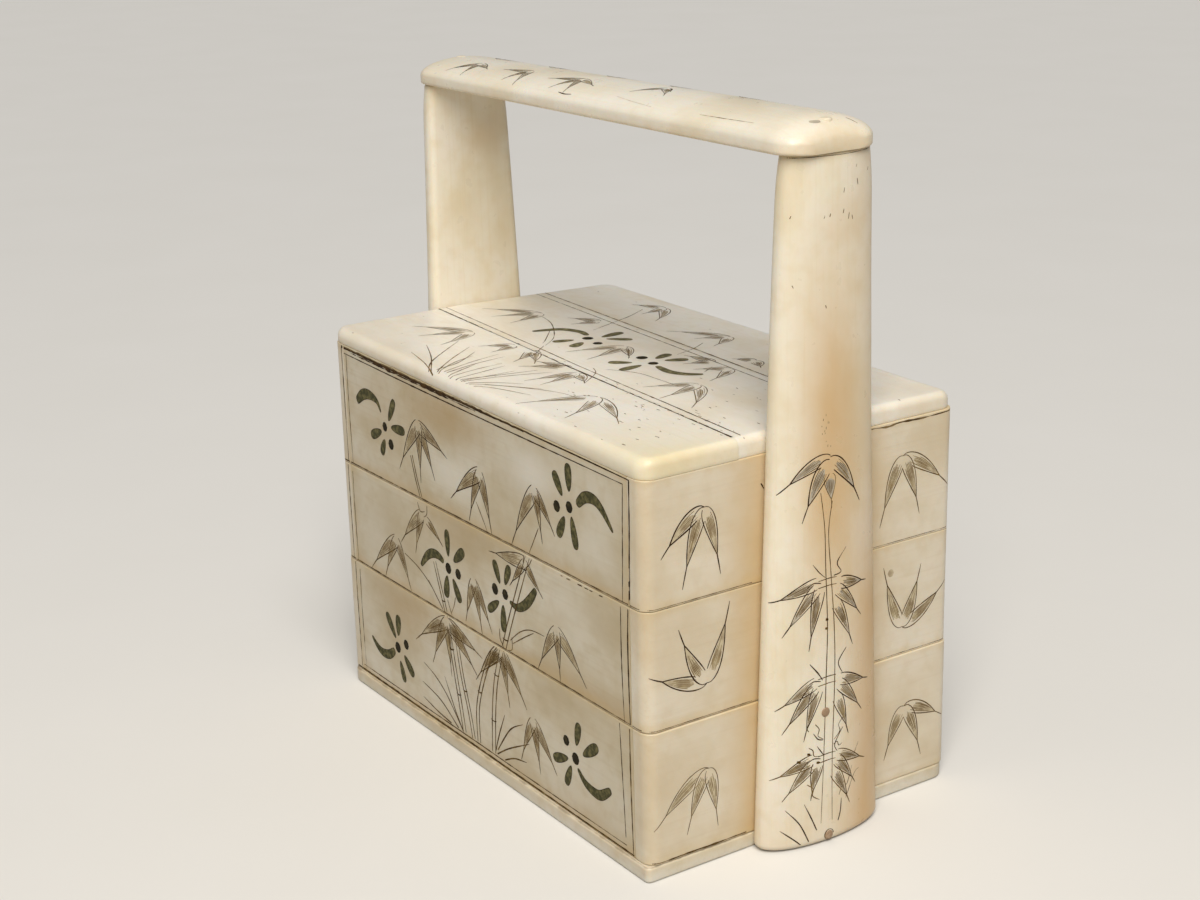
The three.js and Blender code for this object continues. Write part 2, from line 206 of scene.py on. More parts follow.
def rubbed_paint(name, dark, worn, patch, share, roughness, sheen=0.12):
    """Pigment rubbed into cuts and wiped off again: dense where the cut is deep, thin and paler where it has
    worn, with flecks where the bone shows through."""
    material, tree, shader = blank_material(name)
    place = add(tree, "ShaderNodeTexCoord").outputs["Object"]
    wear = add(tree, "ShaderNodeTexNoise",
               {"Vector": place, "Scale": 1 / (patch * MM), "Detail": 4.0}).outputs[0]
    thin = add(tree, "ShaderNodeMapRange", {0: wear, 1: 0.58 - share, 2: 0.8 - share}).outputs[0]
    bare = add(tree, "ShaderNodeMapRange", {0: wear, 1: 0.84 - share, 2: 0.9 - share}).outputs[0]
    mix = add(tree, "ShaderNodeMix", {0: thin, 6: linear(dark), 7: linear(worn)}, data_type="RGBA").outputs[2]
    mix = add(tree, "ShaderNodeMix", {0: bare, 6: mix, 7: linear("#CFC3A4")}, data_type="RGBA").outputs[2]
    tree.links.new(mix, shader.inputs["Base Color"])
    shader.inputs["Roughness"].default_value = roughness
    shader.inputs["IOR"].default_value = 1.5
    shader.inputs["Specular IOR Level"].default_value = sheen
    return material


# front and back walls: greyish cream, its darker tone partly painted shade, with tan and bleached clouds
WALL_BONE = polished_bone("polished_bone_walls", "#D3C6AA", "#DFD6C2", "#BEAB85", "#B89B69", "X", 0.34, 0.05)
# end walls: warmer and more even, with painted shade and some browning beside the uprights
END_BONE = polished_bone("polished_bone_ends", "#E1D4BB", "#E9DFCC", "#D2C0A0", "#CFB385", "Y", 0.34, 0.04)
# lid: pale and the least yellow, with the most open pores
LID_BONE = polished_bone("polished_bone_lid", "#F1EADC", "#F5F1E7", "#E4D8BF", "#EFE2BA", "X", 0.36, 0.16)
# uprights: clear cream, honey brown where the crown has been held; the same brown lies along the far edges,
# partly as painted shade
UPRIGHT_BONE = polished_bone("polished_bone_uprights", "#F1E7D0", "#F5EEDF", "#E3D2AE", "#D6B27E", "Z", 0.32,
                             0.03)
# bar: pale and glossy from handling
BAR_BONE = polished_bone("polished_bone_bar", "#F3EBD8", "#F6F1E5", "#E5D8BC", "#DFC598", "X", 0.32, 0.05)
# base: dull and greyish, from the saw with little polish
BASE_BONE = polished_bone("sawn_bone_base", "#DDD4C0", "#E4DDCD", "#C8BA9C", "#B9A47C", "X", 0.44, 0.08)
# floors and battens: scraped and never polished, so matt and darker
INNER_BONE = polished_bone("scraped_bone_inside", "#DACBA8", "#E0D3B6", "#C6B184", "#B89A66", "X", 0.5, 0.1)
# bold lines: soot ink deep in the cut, a brown near black
INK = rubbed_paint("soot_ink_in_cut_lines", "#321E04", "#5E4218", 2.2, 0.06, 0.6)
# hatching in the leaves: the same ink, worn to a mid brown
HATCH = rubbed_paint("worn_ink_hatching", "#705A36", "#9E885A", 2.6, 0.1, 0.6)
# lighter lines: ink that was mostly wiped off again
FAINT = rubbed_paint("thin_ink_in_cut_lines", "#4E3812", "#826838", 2.0, 0.1, 0.6)
# orchid petals on the front: olive green, flecked with bone
GREEN = rubbed_paint("worn_green_pigment", "#46442A", "#77704A", 1.1, 0.14, 0.6)
# orchid petals on the lid: the same green, rubbed thin
MOSS = rubbed_paint("thin_green_pigment", "#5E5A3E", "#8F8763", 1.1, 0.14, 0.6)
# hearts of the orchids: green so thick that it looks black
HEART = rubbed_paint("dark_green_pigment", "#231D0C", "#453D22", 0.9, 0.08, 0.65)
# leaves on the walls: a thin brown film under the hatching
WASH = rubbed_paint("thin_brown_wash", "#AD9C80", "#CDBF9F", 1.8, 0.19, 0.5)
# leaves on the handle and the lid: the same film, gone grey
SLATE = rubbed_paint("thin_grey_wash", "#A49A8A", "#C6BBA6", 1.8, 0.17, 0.5)
# seams, nicks and pores: brown grime; under the feet of the upper tiers it is also painted shade in the
# closed seams
GRIME_AND_SHADE = rubbed_paint("seam_grime_and_shade", "#574429", "#8E7853", 3.0, 0.14, 0.7)
# peg ends in the uprights: stained end grain, a warm spot in the pale bone
PEG_WOOD = rubbed_paint("stained_peg_end_grain", "#A08468", "#BDA387", 0.8, 0.1, 0.55, 0.5)
# peg ends in the bar: end grain as pale as the bar
PEG_BONE = rubbed_paint("bone_peg_end_grain", "#E6DABF", "#F0E7D4", 0.9, 0.1, 0.4, 0.5)


# bodies of the pieces


def arc(x, y, radius, start, turn=90, steps=8):
    """Points on an arc about (x, y), from one angle on by a turn, in degrees."""
    angles = [math.radians(start + turn * i / steps) for i in range(steps + 1)]
    return [(x + radius * math.cos(a), y + radius * math.sin(a)) for a in angles]


def spaced(outline, step=2.6):
    """The outline with extra points along its longer sides."""
    points = []
    for i, (x, y) in enumerate(outline):
        to_x, to_y = outline[(i + 1) % len(outline)]
        count = max(1, math.ceil(math.hypot(to_x - x, to_y - y) / step))
        points += [(x + (to_x - x) * k / count, y + (to_y - y) * k / count) for k in range(count)]
    return points


# points along the long and the short sides of a plate, and levels up the side of a slab from its eased edge
PLATE_POINTS = (44, 28)
SIDE_STEPS = (0.1, 0.5, 1.2, 2.4, 4.2, 6.6, 9.5)


def rounded_plate(half_x, half_y, radii):
    """Rounded rectangle with the same points at every size. Its corners go round from the right back one."""
    quarters = zip(((1, 1), (-1, 1), (-1, -1), (1, -1)), radii)
    bends = [arc(x * (half_x - r), y * (half_y - r), r, 90 * k) for k, ((x, y), r) in enumerate(quarters)]
    points = []
    for k, bend in enumerate(bends):
        count = PLATE_POINTS[k % 2]
        (ax, ay), (bx, by) = bend[-1], bends[(k + 1) % 4][0]
        points += bend + [(ax + (bx - ax) * i / count, ay + (by - ay) * i / count) for i in range(1, count)]
    return points


def plate_rings(half_x, half_y, radii, levels, shift=0.0):
    """One rounded rectangle for each (inset, height)."""
    rings = []
    for inset, height in levels:
        plan = rounded_plate(half_x - inset, half_y - inset, [max(0.4, r - inset) for r in radii])
        rings.append([(x, y + shift, height) for x, y in plan])
    return rings


def arris_levels(low, high, radius=ARRIS):
    """(inset, height) up the side of a slab: eased edges, and levels that lie closer near them."""
    ease = [math.radians(a) for a in (0, 22, 45, 68, 90)]
    rise = [(radius + 0.12, 0.0)] + [(radius * (1 - math.sin(a)), radius * (1 - math.cos(a))) for a in ease]
    rise += [(0.0, radius + step) for step in SIDE_STEPS if radius + step < 0.46 * (high - low)]
    return [(i, low + h) for i, h in rise] + [(i, high - h) for i, h in reversed(rise)]


# waver of the saw and scraper: how deep and how long it is, and how far a slab stays inside its solid
WAVER = 0.05
WAVER_LENGTH = 13
SHY = 0.02


def slab_rings(outline, levels, seed):
    """One wavering ring of the outline for each level, drawn in by its inset. Each seed has its own waver."""
    rings = []
    for depth, height in levels:
        ring = []
        for i, here in enumerate(outline):
            before = Vector(outline[i - 1])
            after = Vector(outline[(i + 1) % len(outline)])
            a = (Vector(here) - before).normalized()
            b = (after - Vector(here)).normalized()
            out = Vector((a.y + b.y, -a.x - b.x)) / (1 + a.dot(b))
            along = Vector((here[0], here[1], height)) / WAVER_LENGTH + Vector((seed, 0, 0))
            place = Vector(here) - out * (depth + SHY + WAVER * noise.noise(along))
            ring.append((place.x, place.y, height))
        rings.append(ring)
    return rings


def loft(rings):
    """Points and faces of a closed body through rings of equal length."""
    count = len(rings[0])
    points = [p for ring in rings for p in ring]
    faces = [list(reversed(range(count))), [len(points) - count + i for i in range(count)]]
    for r in range(len(rings) - 1):
        for i in range(count):
            a, b = r * count + i, r * count + (i + 1) % count
            faces.append([a, b, b + count, a + count])
    return points, faces


def link(name, mesh):
    """A new object in the scene."""
    obj = bpy.data.objects.new(name, mesh)
    scene.collection.objects.link(obj)
    return obj


def make(name, points, faces):
    """A mesh object from points in millimetres, its faces turned outwards."""
    mesh = bpy.data.meshes.new(name)
    mesh.from_pydata([[c * MM for c in p] for p in points], [], faces)
    return face_outwards(link(name, mesh))


def face_outwards(obj):
    """Turns the faces of a closed body outwards."""
    body = bmesh.new()
    body.from_mesh(obj.data)
    bmesh.ops.recalc_face_normals(body, faces=body.faces)
    body.to_mesh(obj.data)
    body.free()
    return obj


# each piece is cut from another place of the bone's patterns; edges that turn more than this stay sharp
bone_pieces = {body: [] for body in BODIES}
LOT_STEP = 0.37
SHARP = 38


def dress(obj, nodes, body, finish, edge, stain_and_shade=None):
    """Shading, finish and the attributes that the finish reads, then the piece takes its solids' place."""
    mesh = obj.data
    spots = [v.co / MM for v in mesh.vertices]
    lot = LOT_STEP * sum(len(pieces) for pieces in bone_pieces.values())
    values = {"edge": [max(0.0, edge(p)) for p in spots],
              "lot": [lot] * len(spots),
              "stain_and_shade": [min(1.0, max(-1.0, stain_and_shade(p))) if stain_and_shade else 0.0 for p in spots]}
    for name, numbers in values.items():
        mesh.attributes.new(name, "FLOAT", "POINT").data.foreach_set("value", numbers)
    mesh.materials.clear()
    mesh.materials.append(finish)
    mesh.shade_smooth()
    mesh.set_sharp_from_angle(angle=math.radians(SHARP))
    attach(obj, body)
    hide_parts(*nodes)
    bone_pieces[body].append(obj)
    return obj


def falloff(distance, reach):
    """1 at no distance, 0 at the reach, eased at both ends."""
    t = min(1.0, max(0.0, 1 - distance / reach))
    return t * t * (3 - 2 * t)


def spot(p, x, z, reach_x, reach_z):
    """A soft oval spot on a wall."""
    return falloff(math.hypot((p.x - x) / reach_x, (p.z - z) / reach_z), 1.0)


# base plate
BASE_CORNERS = (3.6, 3.6, 3.6, 1.2)
BASE_INSETS = (2, 3.5, 4.8, 5.2, 6, 7.5, 10, 15, 22, 30, 36)
SHORT_BEHIND = 0.15
base_low, base_high = extent("base_plate")
inner = extent("bottom_right_end")[0].x

# how far behind the middle the uprights reach, and by how much the seams behind them are cleaner
BACK_HALF = 12
CLEANER = 0.8


def clean_behind(p):
    """Seams on the back half of the ends hold less dirt."""
    return CLEANER * (p.y > BACK_HALF)


def base_edge(p):
    """Distance to the seam under the walls. The underside counts as far from it."""
    if p.z > base_high.z - 0.01:
        return 0.4 + max(0.0, min(inner - abs(p.x), WALL_INNER - abs(p.y)))
    return base_high.z - p.z + clean_behind(p) if p.z > 0.4 else 3.0


levels = arris_levels(base_low.z, base_high.z, BASE_ARRIS)
levels += [(inset, base_high.z) for inset in BASE_INSETS]
rings = plate_rings(base_high.x, base_high.y - SHORT_BEHIND, BASE_CORNERS, levels, -SHORT_BEHIND)
base = make("base_plate_bone", *loft(rings))
dress(base, ["base_plate"], "base_and_handle", BASE_BONE, base_edge)


# walls of the three tiers: full-width ends, side walls tongued in between them

# the joints run a little out of true: what stands on each, and how far it rises at the left and right end
JOINT_RISE = {"bottom_front_wall": (0.0, 0.0), "middle_front_wall": (0.0, 0.0), "top_front_wall": (-0.9, 0.0),
              "lid_front_strip": (1.3, -0.6)}
joints = [(extent(node)[0].z, ends) for node, ends in JOINT_RISE.items()]
box_end = extent("top_right_end")[1].x


def tilt(ends, x):
    """Rise of a joint at a place along the box."""
    left, right = ends
    return left + (right - left) * (x / box_end + 1) / 2


def rise_at(x, z):
    """How far the joints below and above a point of the tiers carry it up."""
    for (below, foot), (above, rim) in zip(joints, joints[1:]):
        if z < above:
            share = max(0.0, (z - below) / (above - below))
            return (1 - share) * tilt(foot, x) + share * tilt(rim, x)
    return tilt(joints[-1][1], x)


def settled(rings):
    """The rings of a wall, let down or raised to its joints."""
    return [[(x, y, z + rise_at(x, z)) for x, y, z in ring] for ring in rings]


def end_wall_outline(inner, outer):
    """Plan of the right end wall, with its two rounded corners and two grooves."""
    points = [(inner, -SIDE)] + arc(outer - CORNER, CORNER - SIDE, CORNER, 270)
    points += arc(outer - CORNER, SIDE - CORNER, CORNER, 0) + [(inner, SIDE)]
    groove = inner - GLUE + TONGUE + FIT
    half = TONGUE_HALF + FIT
    for y in (TONGUE_MIDDLE, -TONGUE_MIDDLE):
        points += [(inner, y + half), (groove, y + half), (groove, y - half), (inner, y - half)]
    return points


def side_wall_outline(reach):
    """Plan of the back wall, with a tongue at each end."""
    high, low = TONGUE_MIDDLE + TONGUE_HALF, TONGUE_MIDDLE - TONGUE_HALF
    tongue = [(reach + TONGUE, low), (reach + TONGUE, high)]
    half = [(reach, WALL_INNER), (reach, low), *tongue, (reach, high), (reach, SIDE)]
    return half + [(-x, y) for x, y in reversed(half)]


def flipped(outline, x_sign, y_sign):
    """The outline on the other side, still running the same way round."""
    points = [(x * x_sign, y * y_sign) for x, y in outline]
    return points if x_sign * y_sign > 0 else points[::-1]


# tan (above 0) and bleached (below 0) ovals on the side walls: weight, then middle and reach in x and z
WALL_STAINS = {
    "top": ((0.8, (-10, 75, 27, 9)), (0.35, (-38, 70, 18, 12)), (-0.55, (-8, 63, 17, 7)),
            (-0.75, (22, 71, 16, 9)), (-0.3, (44, 62, 12, 9))),
    "middle": ((0.35, (-8, 50, 30, 9)), (-0.3, (-44, 40, 16, 10)), (-0.25, (36, 46, 16, 7)),
               (0.35, (40, 33, 26, 6))),
    "bottom": ((0.65, (-30, 26, 28, 10)), (0.45, (6, 20, 22, 12)), (-0.3, (-48, 9, 12, 7)),
               (0.25, (36, 8, 22, 6)))}


def build_walls(tier, body):
    """Two end walls and two side walls of a tier."""
    low, high = extent(f"{tier}_right_end")
    reach = low.x - GLUE

    def above_foot(p):
        """Height of a point over the wall's foot."""
        return p.z - low.z - rise_at(p.x, low.z)

    def below_rim(p):
        """Depth of a point under the wall's rim."""
        return high.z + rise_at(p.x, high.z) - p.z

    def end_edge(p):
        """Distance to an end wall's foot, rim or corners."""
        corner = math.hypot(high.x - abs(p.x), SIDE - abs(p.y))
        return min(above_foot(p) + clean_behind(p), below_rim(p) + 0.7, corner + 0.9)

    def end_stain_and_shade(p):
        """Painted shade beside the uprights, with some browning there, and a little browning at the upper
        corners.
        """
        # beside the uprights: painted shade where the uprights shade the end, with some real browning
        beside = falloff(abs(p.y) - BACK_HALF, 11) * falloff(high.x - abs(p.x), 3)
        corner = falloff(SIDE - abs(p.y), 5) * falloff(below_rim(p), 16)
        return 0.8 * beside + 0.2 * corner

    def side_edge(p):
        """Distance to a side wall's foot, rim or joints."""
        return min(above_foot(p), below_rim(p) + 0.7, reach - abs(p.x) + 0.5)

    def side_stain_and_shade(p):
        """Painted shade along the foot, under the tier above, browned beside the end walls, with the ovals
        between.
        """
        ovals = sum(weight * spot(p, *oval) for weight, oval in WALL_STAINS[tier])
        # the first term is painted shade along the foot; the ovals are tan and bleached stains
        return 0.5 * falloff(above_foot(p), 4.5) + 0.12 * falloff(reach - abs(p.x), 5) + ovals

    for side, sign in (("right", 1), ("left", -1)):
        node = f"{tier}_{side}_end"
        outline = spaced(flipped(end_wall_outline(low.x, high.x), sign, 1))
        levels = arris_levels(low.z - SEAM, high.z + SEAM, FINE_ARRIS)
        rings = settled(slab_rings(outline, levels, 7.0 + sign + low.z))
        wall = make(node + "_bone", *loft(rings))
        dress(wall, [node], body, END_BONE, end_edge, end_stain_and_shade)
    for side, sign in (("front", -1), ("back", 1)):
        node = f"{tier}_{side}_wall"
        outline = spaced(flipped(side_wall_outline(reach), 1, sign))
        levels = arris_levels(low.z - SEAM, high.z + SEAM)
        rings = settled(slab_rings(outline, levels, 21.0 + sign + low.z))
        wall = make(node + "_bone", *loft(rings))
        dress(wall, [node], body, WALL_BONE, side_edge, side_stain_and_shade)


for tier, body in TIERS.items():
    build_walls(tier, body)


# floors of the upper tiers, stepped so that the lower panel nests in the tier below
FLOOR_STEP = 0.4
FLOOR_INSETS = (0.8, 1.5, 3, 6, 11, 18, 26, 31)
for tier in ("middle", "top"):
    low, high = extent(f"{tier}_floor")
    step = extent(f"{tier}_right_end")[0].z
    levels = [(FLOOR_STEP + i, h) for i, h in arris_levels(low.z, step + 1)[:8]]
    levels += [(FLOOR_STEP, step)] + arris_levels(step, high.z, FINE_ARRIS)
    levels += [(inset, high.z) for inset in FLOOR_INSETS]
    panel = make(f"{tier}_floor_bone", *loft(plate_rings(high.x, high.y, (0.4,) * 4, levels)))
    dress(panel, [f"{tier}_floor"], TIERS[tier], INNER_BONE,
          lambda p: 0.4 + min(high.x - abs(p.x), high.y - abs(p.y)))

# lid: one pillowed plate, parted along its two seams, with a batten under each end
LID_FOOT = ((0.3, 0.0), (0.16, 0.0), (0.05, 0.05), (0.0, 0.16), (0.0, 0.7))
LID_INSETS = (2.9, 3.4, 4.4, 6, 8, 10.5, 13.5, 17, 21, 25, 29, 33, 36)
lid_low, lid_high = extent("lid_front_strip")
plate_x = lid_high.x
thick = lid_high.z - lid_low.z + LID_DROP
corners = (LID_CORNER,) * 4
plan = rounded_plate(plate_x, SIDE, corners)
outs = [Vector((after[1] - before[1], before[0] - after[0])).normalized()
        for before, after in zip(plan[-1:] + plan[:-1], plan[1:] + plan[:1])]


def edge_round(out):
    """Rounding of the top edge, softer along the front and back than at the ends."""
    end = LID_ROUND["right" if out.x > 0 else "left"]
    side = LID_ROUND["back" if out.y > 0 else "front"]
    return end * out.x ** 2 + side * out.y ** 2


rounds = [edge_round(n) for n in outs]
rings = []
for inset, rise in LID_FOOT:
    rings.append([(x - n.x * inset, y - n.y * inset, rise) for (x, y), n in zip(plan, outs)])
for turn in (math.radians(a) for a in range(0, 91, 10)):
    inwards, down = 1 - math.cos(turn), 1 - math.sin(turn)
    rings.append([(x - n.x * r * inwards, y - n.y * r * inwards, thick - r * down)
                  for (x, y), n, r in zip(plan, outs, rounds)])
rings += plate_rings(plate_x, SIDE, corners, [(inset, thick) for inset in LID_INSETS])


def planed(x, y):
    """The lid is a little thicker towards its left front and thinner towards the back."""
    left, right, back = max(0.0, -x / plate_x), max(0.0, x / plate_x), max(0.0, (y + 5) / SIDE)
    return 1 + 0.19 * left - 0.06 * right - 0.12 * back - 0.22 * left * back


def lid_height(x, y, z):
    """Height of a point of the lid: its underside follows the joint, its top is planed and a little wavy."""
    rise = rise_at(x, lid_low.z)
    wave = 0.02 * noise.noise(Vector((x, y, 5)) / 12)
    return lid_low.z - LID_DROP + rise + z * (planed(x, y) - rise / thick) + wave


rings = [[(x, y, lid_height(x, y, z)) for x, y, z in ring] for ring in rings]
strips = {"front": (None, FRONT_SEAM), "middle": (FRONT_SEAM, BACK_SEAM), "back": (BACK_SEAM, None)}


def seam_distance(seam, p):
    """How far a point lies behind a seam."""
    left, right = seam
    return p.y - (left + right) / 2 - (right - left) * p.x / (2 * plate_x)


def lid_edge(p):
    """Distance to the lid's foot, ends or seams. The front seam holds the least dirt."""
    ends = min(plate_x - abs(p.x), SIDE - abs(p.y) + 1.4)
    foot = p.z - lid_low.z - rise_at(p.x, lid_low.z)
    seams = min(2.0 + abs(seam_distance(FRONT_SEAM, p)), 1.4 + abs(seam_distance(BACK_SEAM, p)))
    return min(foot + 0.7, ends + 1.0, seams)


def lid_stain(p):
    """Yellowed at the near right corner and by the left end. The right end is tan in front, pale behind."""
    near = math.hypot((p.x - 58) * 0.8, p.y + 33)
    far_left = math.hypot((p.x + 60) * 0.8, p.y - 5)
    from_end = plate_x - p.x
    end = 0.3 * falloff(from_end, 7) if seam_distance(FRONT_SEAM, p) < 0 else -0.4 * falloff(from_end, 12)
    return 0.55 * falloff(near, 24) + 0.3 * falloff(far_left, 16) + end


def part_along(body, seam, side):
    """Cuts the plate along a seam, keeps what lies on one side of it and closes the cut."""
    left, right = seam
    run = Vector((2 * plate_x, right - left, 0)).normalized()
    away = Vector((-run.y, run.x, 0)) * side
    middle = Vector((0, (left + right) / 2, 0)) - away * GLUE / 2
    bmesh.ops.bisect_plane(body, geom=[*body.verts, *body.edges, *body.faces], dist=1e-7,
                           plane_co=middle * MM, plane_no=away, clear_outer=True)
    bmesh.ops.holes_fill(body, edges=[e for e in body.edges if e.is_boundary])


# the middle and back strips are sawn a little shorter at the right end, over a short reach
STRIP_SHORT = 0.3
STRIP_REACH = 12
for strip, seams in strips.items():
    node = f"lid_{strip}_strip"
    part = make(node + "_bone", *loft(rings))
    body = bmesh.new()
    body.from_mesh(part.data)
    for seam, side in zip(seams, (-1, 1)):
        if seam is not None:
            part_along(body, seam, side)
    if strip != "front":
        for v in body.verts:
            v.co.x -= STRIP_SHORT * MM * falloff(plate_x - v.co.x / MM, STRIP_REACH)
    body.to_mesh(part.data)
    body.free()
    dress(face_outwards(part), [node], "lid", LID_BONE, lid_edge, lid_stain)
for side in ("left", "right"):
    node = f"lid_{side}_batten"
    foot, head = extent(node)
    outline = spaced([(head.x, foot.y), (head.x, head.y), (foot.x, head.y), (foot.x, foot.y)], 5)
    stretch = 1 + rise_at(foot.x, head.z) / (head.z - foot.z)
    levels = [(i, foot.z + stretch * (h - foot.z)) for i, h in arris_levels(foot.z, head.z, BATTEN_ARRIS)]
    batten = make(node + "_bone", *loft(slab_rings(outline, levels, 60.0 + foot.x)))
    dress(batten, [node], "lid", INNER_BONE, lambda p: 0.8 + min(p.z - foot.z, head.z - p.z))


# handle: rails with a flat inner face and an elliptical crown


def tree_with(name, sockets):
    """An empty geometry tree with its named inputs."""
    tree = bpy.data.node_groups.new(name, "GeometryNodeTree")
    tree.interface.new_socket("Geometry", in_out="OUTPUT", socket_type="NodeSocketGeometry")
    tree.interface.new_socket("Geometry", in_out="INPUT", socket_type="NodeSocketGeometry")
    for label, kind in sockets.items():
        tree.interface.new_socket(label, in_out="INPUT", socket_type="NodeSocket" + kind)
    return tree, add(tree, "NodeGroupInput").outputs


def grown(obj, tree, values):
    """Runs a tree on an object and leaves its result there as a plain mesh."""
    modifier = obj.modifiers.new(tree.name, "NODES")
    modifier.node_group = tree
    for label, value in values.items():
        modifier[tree.interface.items_tree[label].identifier] = value
    graph = bpy.context.evaluated_depsgraph_get()
    mesh = bpy.data.meshes.new_from_object(obj.evaluated_get(graph), preserve_all_data_layers=True,
                                           depsgraph=graph)
    obj.modifiers.remove(modifier)
    obj.data = mesh
    return obj


def wire(name, points, edges, numbers):
    """A mesh of edges alone, points in millimetres, with named numbers or vectors on its points."""
    mesh = bpy.data.meshes.new(name)
    mesh.from_pydata([Vector(p) * MM for p in points], edges, [])
    for label, values in numbers.items():
        if isinstance(values[0], (int, float)):
            mesh.attributes.new(label, "FLOAT", "POINT").data.foreach_set("value", values)
        else:
            flat = [c for v in values for c in v]
            mesh.attributes.new(label, "FLOAT_VECTOR", "POINT").data.foreach_set("vector", flat)
    return link(name, mesh)


def crowned_rail_tree():
    """Sweeps the crowned section along the stations, to each station's own half width and crown."""
    tree, given = tree_with("crowned_rail", {"Section": "Object", "Across": "Vector", "Outwards": "Vector",
                                             "Bone": "Material"})
    section = add(tree, "GeometryNodeObjectInfo", {"Object": given["Section"]}).outputs["Geometry"]
    profile = add(tree, "GeometryNodeMeshToCurve", {"Mesh": section}).outputs[0]
    path = add(tree, "GeometryNodeMeshToCurve", {"Mesh": given["Geometry"]}).outputs[0]
    swept = add(tree, "GeometryNodeCurveToMesh", {"Curve": path, "Profile Curve": profile, "Fill Caps": True})
    read = {}
    for label in ("half_width", "crown", "across", "trim", "depth", "rise"):
        read[label] = add(tree, "GeometryNodeInputNamedAttribute", {"Name": label}).outputs["Attribute"]
    seat = add(tree, "GeometryNodeInputNamedAttribute", {"Name": "seat"}, data_type="FLOAT_VECTOR").outputs[0]
    sideways = add(tree, "ShaderNodeMath", {0: read["across"], 1: read["half_width"], 2: read["trim"]},
                   operation="MULTIPLY_ADD").outputs[0]
    outwards = add(tree, "ShaderNodeMath", {0: read["rise"], 1: read["crown"], 2: read["depth"]},
                   operation="MULTIPLY_ADD").outputs[0]
    aside = add(tree, "ShaderNodeVectorMath", {0: given["Across"], "Scale": sideways},
                operation="SCALE").outputs[0]
    ahead = add(tree, "ShaderNodeVectorMath", {0: given["Outwards"], "Scale": outwards},
                operation="SCALE").outputs[0]
    foot = add(tree, "ShaderNodeVectorMath", {0: seat, 1: aside}, operation="ADD").outputs[0]
    place = add(tree, "ShaderNodeVectorMath", {0: foot, 1: ahead}, operation="ADD").outputs[0]
    placed = add(tree, "GeometryNodeSetPosition",
                 {"Geometry": swept.outputs[0], "Position": place}).outputs[0]
    real = add(tree, "GeometryNodeRealizeInstances", {"Geometry": placed}).outputs[0]
    finish = add(tree, "GeometryNodeSetMaterial", {"Geometry": real, "Material": given["Bone"]}).outputs[0]
    add(tree, "NodeGroupOutput", {"Geometry": finish})
    return tree


def crowned_section(edge, ease):
    """Loop round the rail's section: the crown, the straight edges, the eased inner corners and the flat."""
    loop = [(math.sin(a), 0, edge, math.cos(a)) for a in (math.radians(-90 + 5 * i) for i in range(37))]
    corner = [(1, 0, ease + 0.12, 0)]
    for a in (0, 22, 45, 68, 90):
        turn = math.radians(a)
        corner.append((1, -ease * (1 - math.cos(turn)), ease * (1 - math.sin(turn)), 0))
    corner.append((1, -ease - 0.12, 0, 0))
    flat = [(0.75 - 0.25 * i, 0, 0, 0) for i in range(7)]
    loop += corner + flat + [(-a, -t, d, r) for a, t, d, r in reversed(corner)]
    count = len(loop)
    columns = {"across": [p[0] for p in loop], "trim": [p[1] * MM for p in loop],
               "depth": [p[2] * MM for p in loop], "rise": [p[3] for p in loop]}
    turns = [math.tau * i / count for i in range(count)]
    round_points = [(math.cos(turn), math.sin(turn), 0) for turn in turns]
    return wire("rail_section", round_points, [(i, (i + 1) % count) for i in range(count)], columns)


# waver of the scraper along a rail: how deep and how long it is
RAIL_WAVER = 0.06
RAIL_WAVER_LENGTH = 15


def rail(name, stations, edge, ease, across, outwards, finish):
    """A rail with a little of the scraper's waver. Its stations are (place, half width, crown) along it."""
    section = crowned_section(edge, ease)
    columns = {"seat": [Vector(s[0]) * MM for s in stations], "half_width": [s[1] * MM for s in stations],
               "crown": [(s[2] - edge) * MM for s in stations]}
    obj = wire(name, [s[0] for s in stations], [(i, i + 1) for i in range(len(stations) - 1)], columns)
    grown(obj, RAIL, {"Section": section, "Across": across, "Outwards": outwards, "Bone": finish})
    bpy.data.objects.remove(section)
    for v in obj.data.vertices:
        waver = RAIL_WAVER * noise.noise(v.co / MM / RAIL_WAVER_LENGTH)
        v.co += Vector((v.co.x * 0.2, v.co.y, v.co.z * 0.02)).normalized() * waver * MM
    return face_outwards(obj)


RAIL = crowned_rail_tree()


def taper(ends, z):
    """A size of the uprights at a height, from the one at the ground to the one under the bar."""
    bottom, top = ends
    return bottom + (top - bottom) * z / BAR_UNDERSIDE


# uprights: top of the foot, length of the neck, where they start to turn apart and over what reach, then the
# reach and depth of the narrower shoulder and of the eased lip under the bar
FOOT_TOP = 2.2
NECK = 10
TURN_FROM = 75
TURN_OVER = 59
SHOULDER = (9, 0.6)
LIP = (0.35, 0.3)


def near_top(z, top, form):
    """Depth of a form that grows towards the top of an upright."""
    reach, depth = form
    return depth * max(0.0, (z - top + reach) / reach) ** 2


